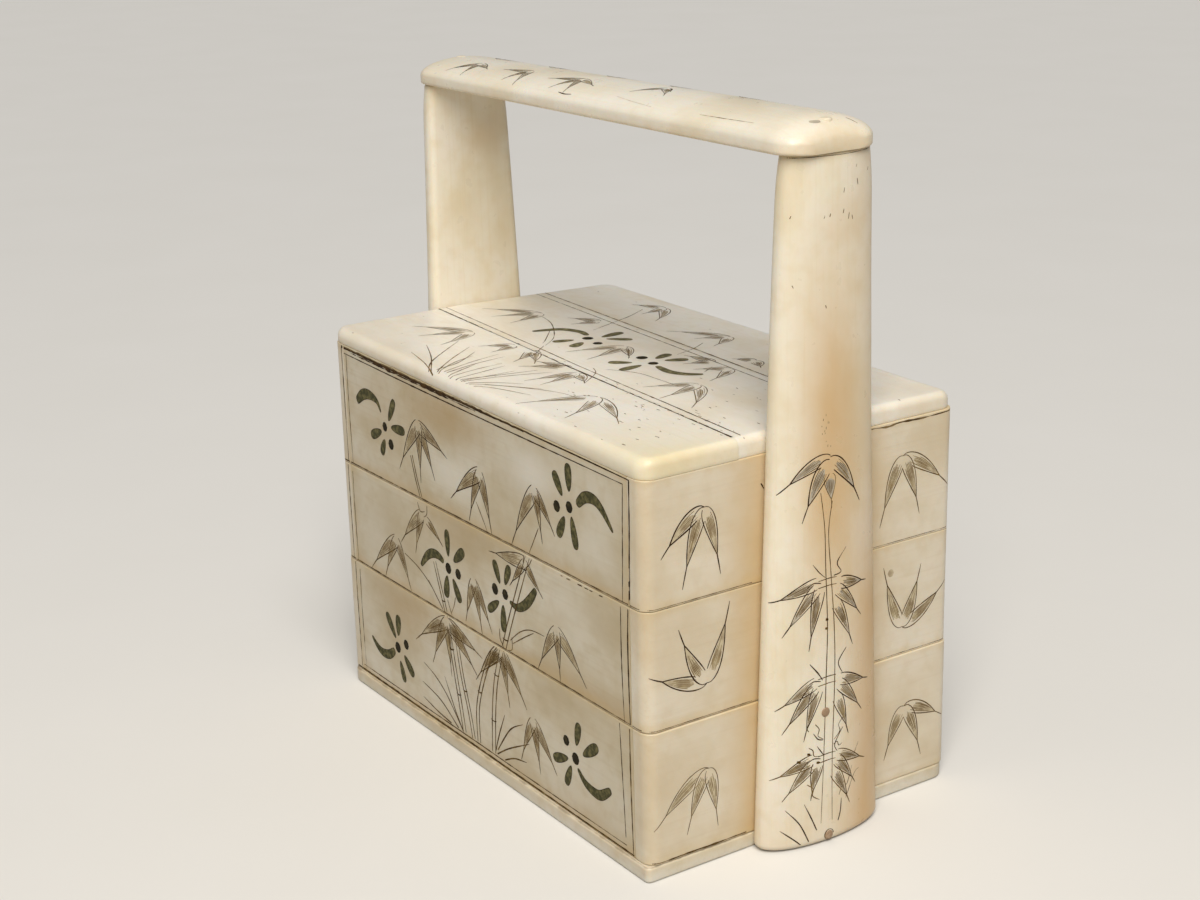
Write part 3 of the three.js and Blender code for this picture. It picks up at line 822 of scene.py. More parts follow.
def upright_stations(sign, foot, top):
    """Stations up an upright, closer in the foot and the neck."""
    heights = [foot + FOOT_ROUND * (1 - math.cos(math.radians(a))) for a in range(0, 91, 10)]
    heights += [foot + FOOT_TOP + i * (top - foot - FOOT_TOP - NECK) / 32 for i in range(33)]
    heights += [top - NECK + NECK * (1 - (1 - i / 9) ** 2) for i in range(1, 10)]
    stations = []
    for z in heights:
        near_foot = max(0.0, 1 - (z - foot) / FOOT_ROUND)
        away = 1 - math.sqrt(1 - near_foot ** 2)
        shoulder = near_top(z, top, SHOULDER)
        lip = near_top(z, top, LIP)
        high_up = max(0.0, (z - TURN_FROM) / TURN_OVER)
        # the uprights are a little out of true: they turn apart towards the bar
        lean = 0.3 + 0.7 * high_up ** 2 if sign > 0 else -0.05 - 0.45 * high_up ** 2
        slim = 0.3 * (1 - high_up) if sign > 0 else 0.1
        half = taper(UPRIGHT_WIDTH, z) - slim - FOOT_ROUND * away - shoulder - lip
        crown = taper(UPRIGHT_CROWN, z) - 0.6 * away - lip
        stations.append(((sign * UPRIGHT_X, HANDLE_Y + lean, z), half, crown))
    return stations


# the near edges of the uprights are cleaner than the far ones
NEAR_CLEANER = 1.5


def upright_edge(p):
    """Distance to an upright's long edges, its foot and its joint with the bar."""
    side = max(0.0, taper(UPRIGHT_WIDTH, p.z) - abs(p.y - HANDLE_Y)) + NEAR_CLEANER * (p.y < HANDLE_Y)
    return min(side, p.z + 0.8, BAR_UNDERSIDE - p.z - 0.1) + 0.6


def upright_stain_and_shade(p):
    """Honey brown on the crown, in a belt half way up and a patch under the bar; along the far edge the brown
    is partly stain and partly painted shade.
    """
    belt = falloff(abs(p.z - 80), 52)
    crown = falloff(UPRIGHT_X + 3 - abs(p.x), 3)
    middle = 0.85 * belt * falloff(abs(p.y + 0.6), 10) * crown
    # along the far edge: stain and painted shade, fullest towards the foot
    far_side_stain_and_shade = falloff(12.5 - p.y, 13) * crown * (0.3 + 0.7 * falloff(p.z - 40, 45))
    patch = falloff(math.hypot(p.y - 3, (p.z - 122) * 1.3), 9)
    return middle + far_side_stain_and_shade + 0.25 * patch + 0.2 * falloff(p.z, 25)


for side, sign in (("left", -1), ("right", 1)):
    low, high = extent(f"{side}_upright")
    blank = rail(f"{side}_upright_bone", upright_stations(sign, low.z, high.z), UPRIGHT_EDGE, UPRIGHT_EASE,
                 (0, 1, 0), (sign, 0, 0), UPRIGHT_BONE)
    dress(blank, [f"{side}_upright"], "base_and_handle", UPRIGHT_BONE, upright_edge,
          upright_stain_and_shade)


# bar: its rise to the right for each millimetre, how far in its ends roll over, and the crown left there
BAR_SLOPE = 0.0085
ROLL = {"left": 4, "right": 8}
END_CROWN = 0.04


def bar_crown(x):
    """Height of the bar above its underside."""
    roll = max(0.0, 1 - (BAR_END - abs(x)) / ROLL["right" if x > 0 else "left"])
    full = BAR_HEIGHT + BAR_SLOPE * x - BAR_EDGE
    return BAR_EDGE + full * (END_CROWN + (1 - END_CROWN) * math.sqrt(1 - min(1.0, roll) ** 2))


def bar_edge(p):
    """Distance to the ends and the underside of the bar."""
    return 0.9 + min(BAR_END - abs(p.x), p.z - BAR_UNDERSIDE)


def bar_stain(p):
    """A little browner at the ends and along the underside."""
    return 0.2 * falloff(BAR_END - abs(p.x), 9) + 0.2 * falloff(p.z - BAR_UNDERSIDE, 3)


# stations from an end inwards: close in the rounded end, then evenly to the middle
END_STEPS = (0, 0.12, 0.3, 0.55, 0.85, 1.2, 1.6, 2.1, 2.7, 3.4, 4.2, 5.2, 7)
even_from = bar_high.x - END_STEPS[-1]
along = [bar_high.x - step for step in END_STEPS] + [even_from - even_from * i / 14 for i in range(1, 14)]
stations = []
for x in [-x for x in along] + [0] + along[::-1]:
    short = max(0.0, BAR_CORNER - (bar_high.x - abs(x)))
    drop = BAR_CORNER - math.sqrt(BAR_CORNER ** 2 - short ** 2)
    stations.append(((x, HANDLE_Y, BAR_UNDERSIDE), BAR_HALF - drop, bar_crown(x)))
bar = rail("handle_bar_bone", stations, BAR_EDGE, BAR_EASE, (0, 1, 0), (0, 0, 1), BAR_BONE)
dress(bar, ["handle_bar"], "base_and_handle", BAR_BONE, bar_edge, bar_stain)


# pegs through the uprights and the bar


def peg_tree():
    """Sets one turned peg on each point, turned to its facing and drawn out to its length."""
    tree, given = tree_with("pegs", {"Peg": "Object", "Wood": "Material"})
    turned = add(tree, "GeometryNodeObjectInfo", {"Object": given["Peg"]}).outputs["Geometry"]
    facing = add(tree, "GeometryNodeInputNamedAttribute", {"Name": "facing"},
                 data_type="FLOAT_VECTOR").outputs[0]
    size = add(tree, "GeometryNodeInputNamedAttribute", {"Name": "size"}, data_type="FLOAT_VECTOR").outputs[0]
    turn = add(tree, "FunctionNodeAlignRotationToVector", {"Vector": facing}, axis="Z").outputs[0]
    row = add(tree, "GeometryNodeInstanceOnPoints", {"Points": given["Geometry"], "Instance": turned,
                                                     "Rotation": turn, "Scale": size}).outputs[0]
    real = add(tree, "GeometryNodeRealizeInstances", {"Geometry": row}).outputs[0]
    finish = add(tree, "GeometryNodeSetMaterial", {"Geometry": real, "Material": given["Wood"]}).outputs[0]
    add(tree, "NodeGroupOutput", {"Geometry": finish})
    return tree


# a peg of unit size, head up: radius and height of each ring
PEG_RINGS = ((0.9, -1.0), (1.0, -0.97), (1.0, -0.5), (1.0, -0.02), (0.97, -0.006), (0.85, 0.004),
             (0.5, 0.008))
BAR_PEGS_FROM = 120
rings = [[(x / MM, y / MM, z / MM) for x, y in arc(0, 0, r, 0, 360 - 15, 23)] for r, z in PEG_RINGS]
peg = make("turned_peg", *loft(rings))
peg.data.shade_smooth()
heads, facings, sizes, peg_nodes = [], [], [], []
for side, sign in (("left", -1), ("right", 1)):
    for name in ("upper_peg", "lower_peg", "bar_peg"):
        low, high = extent(f"{side}_{name}")
        middle = (low + high) / 2
        level = name != "bar_peg"
        top = BAR_UNDERSIDE + bar_crown(middle.x)
        outer = sign * max(abs(low.x), abs(high.x))
        heads.append((outer, middle.y, middle.z) if level else (middle.x, middle.y, top))
        facings.append((sign, 0, 0) if level else (0, 0, 1))
        reach = high.x - low.x if level else top - low.z
        width = (high.y - low.y) / 2
        sizes.append((width * MM, width * MM, reach * MM))
        peg_nodes.append(f"{side}_{name}")
pegs = wire("pegs", heads, [], {"facing": facings, "size": sizes})
grown(pegs, peg_tree(), {"Peg": peg, "Wood": PEG_WOOD})
pegs.data.materials.clear()
for finish in (PEG_WOOD, PEG_BONE):
    pegs.data.materials.append(finish)
for face in pegs.data.polygons:
    face.material_index = 1 if face.center.z > BAR_PEGS_FROM * MM else 0
bpy.data.objects.remove(peg)
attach(pegs, "base_and_handle")
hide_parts(*peg_nodes)


# engraving: every face has its own sheet of strokes, drawn flat in millimetres

# each paint has its finish and the height of its ribbons over the bone, so that lines lie over the films
PAINTS = {"ink": (INK, 0.024), "faint": (FAINT, 0.022), "hatch": (HATCH, 0.019), "heart": (HEART, 0.017),
          "green": (GREEN, 0.015), "grime": (GRIME_AND_SHADE, 0.011), "wash": (WASH, 0.013), "slate": (SLATE, 0.013),
          "moss": (MOSS, 0.015)}
PAINT_NUMBER = {paint: float(number) for number, paint in enumerate(PAINTS)}
# half width of the thinnest end of a ribbon, and of the two lines of a stalk
HAIR = 0.03
STALK_LINE = 0.16
hand = random.Random(11)


def through(points, step=0.45):
    """A smooth line through the points."""
    ends = [points[0], *points, points[-1]]
    path = []
    for k in range(len(points) - 1):
        p = [Vector(q) for q in ends[k:k + 4]]
        count = max(2, math.ceil((p[2] - p[1]).length / step))
        for i in range(count):
            t = i / count
            path.append(0.5 * (2 * p[1] + (p[2] - p[0]) * t + (2 * p[0] - 5 * p[1] + 4 * p[2] - p[3]) * t * t
                               + (3 * p[1] - p[0] - 3 * p[2] + p[3]) * t ** 3))
    return path + [Vector(points[-1])]


def stroke(sheet, points, width, paint="ink", start=0.7, end=0.5, press=0.3):
    """A cut line of a half width, swelling in the middle, with the tool's uneven pressure."""
    path = through(points)
    phase = hand.uniform(0, 90)
    widths = []
    for i, p in enumerate(path):
        t = i / (len(path) - 1)
        swell = start + (1 - start) * min(1, t / 0.3) if t < 0.5 else end + (1 - end) * min(1, (1 - t) / 0.4)
        widths.append(width * swell * (1 + press * noise.noise(Vector((p.x * 0.7, p.y * 0.7, phase)))))
    sheet.append((path, widths, paint))


def leaf(sheet, root, tip, width=None, droop=0.35, hatching=6, weight=0.1, bell=0.0, paint="ink", wash=0.9,
         fill="wash"):
    """A lance leaf: a full outer edge, an inner edge that starts lower, a whisker on to the tip, and hatching
    over a thin wash. The bell is 0 for a leaf with straight edges and 1 for one with a rounded belly."""
    a, b = Vector(root), Vector(tip)
    span = b - a
    width = width or min(1.6, max(0.8, 0.115 * span.length))
    knee = a + Vector((span.x * 0.5, span.y * droop))
    meet = 0.8
    outer = math.copysign(1, span.x) * (1 if span.y < 0 else -1)
    straight = abs(span.x) < 0.3 * abs(span.y) or bell < 0.5
    power = 0.32 + 0.3 * bell
    gap = 0.1 * (1 - bell)
    crest = (power - gap) / (1 + power)
    full = (crest + gap) ** power * (1 - crest)

    def rib(t):
        """Place on the bent middle rib."""
        return (1 - t) ** 2 * a + 2 * t * (1 - t) * knee + t * t * b

    def half(t):
        """Half width of the leaf."""
        s = min(1.0, t / meet)
        return width * (s + gap) ** power * (1 - s) / full

    def beside(t, share):
        """Place beside the rib, at a share of the half width."""
        run = (2 * (1 - t) * (knee - a) + 2 * t * (b - knee)).normalized()
        return rib(t) + Vector((-run.y, run.x)) * half(t) * share

    for share in (outer, -outer):
        first = 0.0 if share == outer else 0.04 if straight else 0.24
        edge = [beside(first + (meet - first) * (i / 9) ** 1.3, share) for i in range(10)]
        stroke(sheet, edge, weight * hand.uniform(0.85, 1.15), paint, start=0.6, end=0.9)
    stroke(sheet, [rib(t) for t in (meet - 0.02, 0.86, 0.93, 1.0)], weight, paint, start=1.0, end=0.4)
    steps = [(0.12 + 0.12 * bell) + (0.66 - 0.12 * bell) * i / 12 for i in range(13)]
    widths = [max(HAIR, wash * half(t) * min(1, 0.25 + i / 4)) for i, t in enumerate(steps)]
    sheet.append(([rib(t) for t in steps], widths, fill))
    for i in range(hatching):
        share = -0.72 + 1.44 * (i + hand.uniform(0.3, 0.7)) / hatching
        first, last = meet * hand.uniform(0.1, 0.3) + 0.1 * bell, meet * hand.uniform(0.62, 0.86)
        line = [beside(first + (last - first) * k / 4, share) for k in range(5)]
        stroke(sheet, line, hand.uniform(0.05, 0.085), "hatch", start=0.6, end=0.5)


def sprigs(sheet, looks, *sprays):
    """The leaves of each spray, from its apex to each of its tips."""
    for apex, *tips in sprays:
        for tip in tips:
            leaf(sheet, apex, tip, **looks)


def blot(sheet, points, width, lip=None, paint="green"):
    """A filled drop along a line: a petal is fullest towards its tip, a lip is a crescent that is heavier at
    its tip (above 0) or at its root (below 0)."""
    path = through(points, 0.2)
    count = len(path) - 1
    widths = []
    for i in range(count + 1):
        t = i / count
        if lip is None:
            full = max(0.0, math.sin(math.pi * t ** 1.5)) ** 0.45
        else:
            full = math.sin(math.pi * (0.05 + 0.9 * t)) ** 0.5 * min(1, t / 0.04, (1 - t) / 0.03) ** 0.5
            full *= 1 + 0.55 * lip * (2 * t - 1)
        widths.append(max(HAIR, width * full))
    sheet.append((path, widths, paint))
    for side in (-1, 1):
        rim = []
        for i, p in enumerate(path):
            run = (path[min(i + 1, count)] - path[max(i - 1, 0)]).normalized()
            rim.append(p + Vector((-run.y, run.x)) * widths[i] * side)
        sheet.append((rim, [0.06] * len(rim), "ink" if paint == "green" else "faint"))


def dot(sheet, centre, radius, paint="heart"):
    """A round spot, drawn as one short, fat stroke."""
    x, y = centre
    turns = [math.pi * i / 14 for i in range(15)]
    path = [Vector((x - radius * math.cos(a), y)) for a in turns]
    sheet.append((path, [max(HAIR, radius * math.sin(a)) for a in turns], paint))


def orchid(sheet, hearts, petals, lip, heavy=0.0, paint="green"):
    """Two round hearts, four drop petals and one long bent lip."""
    for heart in hearts:
        dot(sheet, heart, hand.uniform(1.05, 1.3))
    for petal in petals:
        blot(sheet, petal, hand.uniform(0.95, 1.15), paint=paint)
    blot(sheet, lip, 1.0, heavy, paint)


def culm(sheet, points, gap, nodes):
    """A bamboo stalk: two lines a gap apart, tied across at its nodes."""
    path = through(points, 1.5)
    for side in (-0.5, 0.5):
        line = []
        for i, p in enumerate(path):
            run = (path[min(i + 1, len(path) - 1)] - path[max(i - 1, 0)]).normalized()
            line.append(p + Vector((-run.y, run.x)) * gap * side)
        stroke(sheet, line, STALK_LINE, "faint")
    for share in nodes:
        p = path[round(share * (len(path) - 1))]
        stroke(sheet, [p + Vector((-gap * 0.8, 0.2)), p, p + Vector((gap * 0.8, 0.3))], STALK_LINE, "faint")


def drawn(*passes):
    """A new sheet, drawn in the given passes."""
    sheet = []
    for draw in passes:
        draw(sheet)
    return sheet


def front_border(sheet):
    """The outer line runs along the rim and the corner joints, and the inner one is set in."""
    stroke(sheet, [(-55.4, 79.1), (-20, 79.1), (20, 79.2)], 0.24, start=0.5, end=0.5, press=1.0)
    stroke(sheet, [(-51, 78.7), (-30, 78.7), (2, 78.75)], 0.15, start=0.3, end=0.3, press=1.6)
    stroke(sheet, [(-55.4, 79.3), (-20, 79.3), (22, 79.35)], 0.26, "grime", press=0.8)
    stroke(sheet, [(21, 79.3), (40, 79.35), (55.2, 79.3)], 0.17, press=0.4)
    stroke(sheet, [(-54.5, 78.0), (-10, 77.8), (20, 77.9), (53.2, 78.0)], 0.14, press=0.5)
    stroke(sheet, [(55.1, 79.3), (54.9, 68), (54.5, 54.5)], 0.2, start=0.8, end=1.2, press=0.5)
    stroke(sheet, [(54.0, 54.0), (53.7, 45), (54.0, 30.5)], 0.18, press=0.5)
    stroke(sheet, [(53.7, 30), (53.8, 18), (54.2, 4)], 0.2, "grime", press=0.5)
    stroke(sheet, [(53.1, 78), (52.7, 66), (52.3, 54.6)], 0.12, press=0.8)
    stroke(sheet, [(51.6, 53.6), (51.6, 42), (52.1, 30.6)], 0.12, press=0.8)
    stroke(sheet, [(50.4, 30), (51.0, 20), (51.8, 6.5)], 0.12, press=0.8)
    for top, foot, x in ((79, 54.6, -54.6), (53.9, 30.6, -54.9), (29.9, 4.2, -54.4)):
        stroke(sheet, [(x - 0.8, top), (x - 0.7, (top + foot) / 2), (x - 0.6, foot)], 0.16, "grime",
               press=0.9)
        stroke(sheet, [(x + 1.3, top - 1.2), (x + 1.2, (top + foot) / 2), (x + 1.5, foot)], 0.13, "grime",
               press=0.9)
    # dark lines under the feet of the upper tiers: painted shade in the closed seams, with some grime
    for foot in (30.35, 54.35):
        stroke(sheet, [(-57.4, foot + 0.42), (-20, foot + 0.38), (20, foot + 0.38), (57.4, foot + 0.42)],
               0.13, "grime", start=1.0, end=0.8, press=0.9)
    stroke(sheet, [(-54, 4.9), (-20, 4.8), (20, 4.8), (52, 4.9)], 0.13, "faint", press=0.8)
    stroke(sheet, [(-57, 3.72), (-20, 3.7), (20, 3.7), (55, 3.75)], 0.2, "faint", start=1.0, end=0.8,
           press=0.7)


def front_orchids(sheet):
    """One orchid at each corner and two in the middle."""
    orchid(sheet, [(-36.9, 66.3), (-34.5, 63.1)],
           [[(-35, 68), (-32, 73)], [(-34, 66.8), (-28, 67.3)], [(-38.5, 65), (-43.5, 63)],
            [(-37.2, 63.5), (-39, 60)]],
           [(-38.3, 69), (-40, 71), (-43.5, 71.6), (-46.5, 70.9), (-49.3, 69)], 1.0)
    orchid(sheet, [(31, 67.4), (35.3, 68.4)],
           [[(35.4, 71.5), (35.2, 77)], [(33, 70), (30.2, 74.2)], [(33.6, 66), (31.2, 61.4)],
            [(36, 66.7), (37.4, 60.5)]],
           [(38, 69.6), (40.6, 71.8), (43.6, 72.3), (46.4, 71), (49.8, 67.6)], -0.9)
    orchid(sheet, [(-12, 41.7), (-8, 41.6)],
           [[(-11.8, 44.5), (-12, 50.5)], [(-9.6, 44), (-5.2, 47.7)], [(-12.6, 39.8), (-13.5, 34.6)],
            [(-10.3, 39.8), (-7.5, 35.2)]],
           [(-13.8, 42.6), (-16, 43.4), (-18.5, 43.2), (-21, 41.8), (-23.8, 38.8)], -0.3)
    orchid(sheet, [(6.8, 43), (10.7, 43)],
           [[(8.8, 44.8), (6.8, 49.4)], [(10.8, 45.2), (12.7, 49.8)], [(8.2, 40.7), (3.7, 37.3)],
            [(9.8, 40.4), (9.6, 34.4)]],
           [(12.4, 42), (15.2, 41.6), (18, 43), (20.4, 45.2), (22.5, 47.8)], 0.4)
    orchid(sheet, [(-32.8, 17), (-36.8, 15)],
           [[(-37.5, 17), (-41.3, 22)], [(-36.3, 18), (-35.8, 23)], [(-34, 14), (-30, 10.3)],
            [(-36, 12), (-34.3, 7.4)]],
           [(-38.3, 13.8), (-41, 11.9), (-44, 11.3), (-46.5, 12), (-49, 13.7)], -0.7)
    orchid(sheet, [(31.7, 18.9), (34.9, 16.2)],
           [[(35.3, 19.2), (36.4, 24.3)], [(37.6, 18), (42.9, 21.8)], [(32.2, 15.3), (26.8, 13.3)],
            [(33.3, 14), (31.3, 9.2)]],
           [(35.6, 14.4), (38, 12.4), (41, 11.6), (43.6, 11.9), (47, 14.3)], 0.55)


def front_leaves(sheet):
    """Sprigs of bamboo, bold on the top tier and mostly softer below."""
    full = {"weight": 0.12, "hatching": 8}
    sprigs(sheet, full,
           [(-22, 70), (-31.2, 58.8), (-21.9, 58), (-15.8, 60), (-10.2, 66)],
           [(2.5, 66.2), (-9.5, 58), (-2.3, 55.2), (6.5, 54.8)],
           [(23.2, 68.2), (14, 54.8), (25.5, 58.2), (30, 61)])
    soft = {"paint": "faint", "weight": 0.12, "hatching": 7}
    sprigs(sheet, soft,
           [(-22.5, 50.8), (-32.4, 41.6), (-26, 40.9)],
           [(-20.5, 50.3), (-13.8, 46)],
           [(-34.6, 41.4), (-47, 31), (-40.5, 31), (-29, 31)],
           [(-1.8, 41.8), (-5.7, 31.6), (0.9, 30.9), (5, 32.3)])
    sprigs(sheet, {"droop": 0.5}, [(18.5, 52.3), (5, 50.8), (12.6, 45.6), (25, 46.6)])
    sprigs(sheet, {}, [(29.5, 41.3), (22.3, 30.8), (30.4, 30.9), (39.6, 32.8)])
    deep = {**soft, "hatching": 11, "wash": 1.0}
    sprigs(sheet, deep,
           [(-14, 28.6), (-28, 20), (-20.8, 17), (-12.8, 16.5), (0.5, 25.3), (-1.5, 20.2)],
           [(8, 29.6), (-2.5, 19.5), (1.2, 22), (10.8, 18), (17.4, 20)])
    sprigs(sheet, soft, [(19.6, 18.2), (14.6, 8), (21.8, 7.5), (28, 9.6)])


def front_stalks(sheet):
    """Stalks from the ground up through the tiers, stems, grass at the foot and nicks under the top tier."""
    for gap, nodes, points in ((1.2, (0.35, 0.75), [(-8.4, 5.2), (-9.8, 12), (-11.6, 20), (-13.2, 28)]),
                               (1.1, (0.45,), [(-4.6, 5.2), (-6, 11), (-8.2, 18), (-10, 26)]),
                               (1.1, (0.5,), [(-2.4, 5.2), (-2.3, 13), (0.6, 21), (4.6, 28)]),
                               (1.3, (0.3, 0.7), [(3.6, 5.2), (4.2, 14), (5.6, 22), (8.3, 29.8)]),
                               (1.4, (0.12, 0.86), [(9.4, 30.8), (12, 37), (15.6, 45), (19.8, 54)]),
                               (1.0, (0.2,), [(-14, 31), (-15.8, 36), (-17.8, 41.5)]),
                               (0.8, (), [(-25.6, 63), (-24, 58.6), (-22.2, 54.8)])):
        culm(sheet, points, gap, nodes)
    for stem in ([(0.8, 60), (2.8, 57.5), (4.8, 54.8)], [(24.2, 61), (22.4, 58), (20.4, 54.8)],
                 [(-31, 39.4), (-25, 37.8), (-20, 35.2), (-15.4, 31.4)],
                 [(-21, 36.2), (-18, 33.6), (-15.2, 31)],
                 [(12, 33.4), (16, 36.6), (20, 38.3), (25, 38.7)], [(13, 33), (17, 35.6), (21, 38)],
                 [(-13, 34.2), (-12.2, 32.4), (-11.4, 31)], [(-9.6, 35.8), (-10.4, 33.6), (-11.6, 31.6)],
                 [(8, 34.6), (8, 32.4), (9.4, 31)], [(12.6, 34.2), (12.6, 31.6), (11, 30.8)],
                 [(-24, 53.4), (-23, 51.6), (-21, 52)], [(-20, 53.6), (-20.2, 51.6), (-21.6, 50.6)],
                 [(18.4, 53.8), (18, 52)], [(21.4, 54), (20.2, 52.2), (19, 51.4)]):
        stroke(sheet, stem, 0.11, "faint")
    for blade in ([(-9, 5.2), (-12, 9), (-16, 15.5)], [(-9, 5.2), (-15, 11), (-20, 14), (-25, 15.6)],
                  [(-11, 5.2), (-18, 9), (-26, 10.7)], [(-14, 5.2), (-20, 5.9), (-26, 7.1)],
                  [(4.4, 6), (6.2, 10.6), (8.6, 15.6)], [(5.2, 6.4), (10.5, 13), (15.6, 16.1)],
                  [(5, 5.4), (10, 8.6), (17.8, 12.6)], [(8, 5.2), (12, 7.1), (16.6, 8)]):
        stroke(sheet, blade, 0.16, "faint", start=1.0, end=0.3)
    for x in (31.6, 33.6, 37.4, 39.8, 41.4, 44.6):
        stroke(sheet, [(x, 53.6), (x + hand.uniform(0.6, 1.7), 53.65)], hand.uniform(0.09, 0.14), "grime")


def end_sprigs(sheet):
    """Three pairs of sprigs, the middle pair turned up."""
    looks = {"width": 1.4, "weight": 0.125, "hatching": 7, "bell": 1.0, "droop": 0.25, "wash": 0.7}
    pale = {**looks, "paint": "faint", "weight": 0.1}
    rubbed = {**pale, "weight": 0.08, "hatching": 5}
    sprigs(sheet, looks,
           [(-23.9, 72.4), (-33.7, 64.2), (-29, 57.2), (-20.3, 58.3)],
           [(-23.6, 37.3), (-30, 49.5), (-18.2, 52.3), (-36.4, 41.4)])
    sprigs(sheet, rubbed, [(-23.6, 19.9), (-36.2, 10.3), (-28.8, 7.5), (-21.5, 7.2)])
    sprigs(sheet, pale,
           [(24, 72.4), (18.3, 58.4), (28.5, 59.3), (36, 63.9)],
           [(24.6, 36.2), (19.5, 49.8), (29.3, 48.5), (36, 43.4)],
           [(25.4, 18.9), (20.3, 8.2), (30.2, 6.8), (36, 14)])


def end_seams(sheet):
    """Grime along the seams, painted shade under the feet of the upper tiers, and two marks."""
    stroke(sheet, [(12, 79.4), (16, 79.5), (20, 79.2), (23, 79.5), (29, 79.3), (36.5, 79.5)], 0.16, "grime",
           press=1.0)
    stroke(sheet, [(-36.5, 3.65), (-24, 3.6), (-14.7, 3.65)], 0.13, "grime", press=1.4)
    stroke(sheet, [(-33, 3.62), (-28, 3.7), (-22, 3.6), (-17, 3.7)], 0.1, "faint", press=1.6)
    # thin lines under the feet of the upper tiers: painted shade in the closed seams
    for foot in (30.35, 54.35):
        stroke(sheet, [(-36.4, foot + 0.36), (-25, foot + 0.34), (-13, foot + 0.36)], 0.06, "grime", end=1.0,
               press=0.9)
        stroke(sheet, [(13, foot + 0.34), (24, foot + 0.33), (36.4, foot + 0.34)], 0.05, "grime", end=1.0,
               press=0.9)
    stroke(sheet, [(-10.9, 74.2), (-10.2, 73)], 0.14)
    dot(sheet, (21.4, 48.3), 0.8, "wash")


def upright_stalk(sheet):
    """One bamboo stalk with a drooping crown of leaves."""
    stroke(sheet, [(-2.6, 72), (-1.7, 65), (-1.4, 57), (-0.9, 45), (-1.2, 34), (-1.6, 20), (-2.2, 4.6)], 0.1,
           "faint")
    stroke(sheet, [(0, 70), (-0.8, 64), (-0.2, 56), (0.7, 45), (0.9, 35), (0.4, 18), (0.5, 4.6)], 0.1,
           "faint")
    leaf(sheet, (-0.45, 78.5), (-10.6, 72.4), 1.2, 0.08, 6, 0.11, 0.8, wash=0.6, fill="slate")
    leaf(sheet, (-0.5, 77.9), (-6.4, 66.6), 1.5, 0.25, 7, 0.11, 0.9, wash=0.6, fill="slate")
    leaf(sheet, (-0.7, 75.2), (-0.1, 68.6), 1.3, 0.3, 6, 0.08, 0.5, "hatch", fill="slate")
    leaf(sheet, (-0.65, 78.2), (7.1, 68.4), 1.3, 0.2, 7, 0.13, 0.8, wash=0.6, fill="slate")


def upright_nodes(sheet):
    """Leaves and twigs at three nodes of the stalk, and buds between them."""
    clusters = (
        (54, "ink", [(-3.2, 54.4, -12.1, 51.3), (-3.2, 53.4, -10.1, 44.5), (-2.7, 53, -5, 41),
                     (2.2, 53.4, 9.4, 52), (1.4, 52.4, 7.9, 45.3), (1.1, 49.6, 5.5, 40)],
         [[(-1.5, 55.2), (-2.8, 56.4), (-4.2, 58.2)], [(0.5, 55.2), (2.3, 55.6), (1.3, 57.6), (3.5, 60.2)]]),
        (34.2, "ink", [(-3.4, 34.4, -11.4, 29.7), (-3.4, 33.6, -10.3, 24.8), (-3, 33, -6.1, 22.7),
                       (2.2, 33.8, 10.3, 31.5), (2, 33, 8.3, 25.6), (1.5, 30.4, 4.5, 21.8)],
         [[(-2, 34.6), (-3, 36.2), (-4.8, 38.4)], [(2.8, 35), (1.8, 37.4), (3.8, 39.9)]]),
        (18.2, "faint", [(-4, 18.6, -12.4, 15.5), (-4, 17.8, -10.4, 10.9), (-3, 17.4, -4.6, 10),
                         (1.6, 18.2, 9.4, 15), (1.4, 17.4, 6.6, 10.7), (0.9, 15, 5.1, 6.8)],
         [[(-1.7, 19), (-3.2, 21.2)], [(1.6, 19), (1, 20.6), (3, 23.6)],
          [(-1.8, 22.2), (-3, 22.6), (-4, 24)]]))
    for level, paint, leaves, twigs in clusters:
        for x, z, tip_x, tip_z in leaves:
            leaf(sheet, (x, z), (tip_x, tip_z), 1.25, 0.4, 7, 0.1, paint=paint, wash=0.5, fill="slate")
        for twig in twigs:
            stroke(sheet, twig, 0.1, press=0.6)
        for z in (level + 0.8, level - 0.6):
            stroke(sheet, [(-3, z - 0.1), (-0.5, z + 0.1), (1.2, z)], 0.09, "faint")
        stroke(sheet, [(-2.4, level + 0.2), (-4, level + 0.5), (-5.4, level - 0.2)], 0.1)
    for twig in ([(-3.6, 25.8), (-2.7, 24.6), (-3, 23.3), (-1.8, 22.4)],
                 [(-5, 21.2), (-4.1, 20.5), (-3.9, 19.3), (-2.6, 19)],
                 [(3, 25.6), (1.9, 24.4), (2.3, 23), (0.8, 21.6)],
                 [(0.7, 20.6), (1.6, 21), (2, 20), (2.9, 20.3)],
                 [(-5.4, 13.6), (-4, 12.4), (-4.2, 11), (-2.6, 9.8)],
                 [(-4.6, 26.8), (-5.4, 25.4), (-5, 24.6)]):
        stroke(sheet, twig, 0.09, "faint", press=0.8)
    for x, z, reach in ((-5, 20, 0.35), (-7.1, 18.8, 0.4), (-2.9, 17.8, 0.4), (-1, 46.8, 0.3),
                        (-1.1, 45, 0.3)):
        stroke(sheet, [(x - reach, z), (x + reach, z - 0.2)], 0.3, "faint")


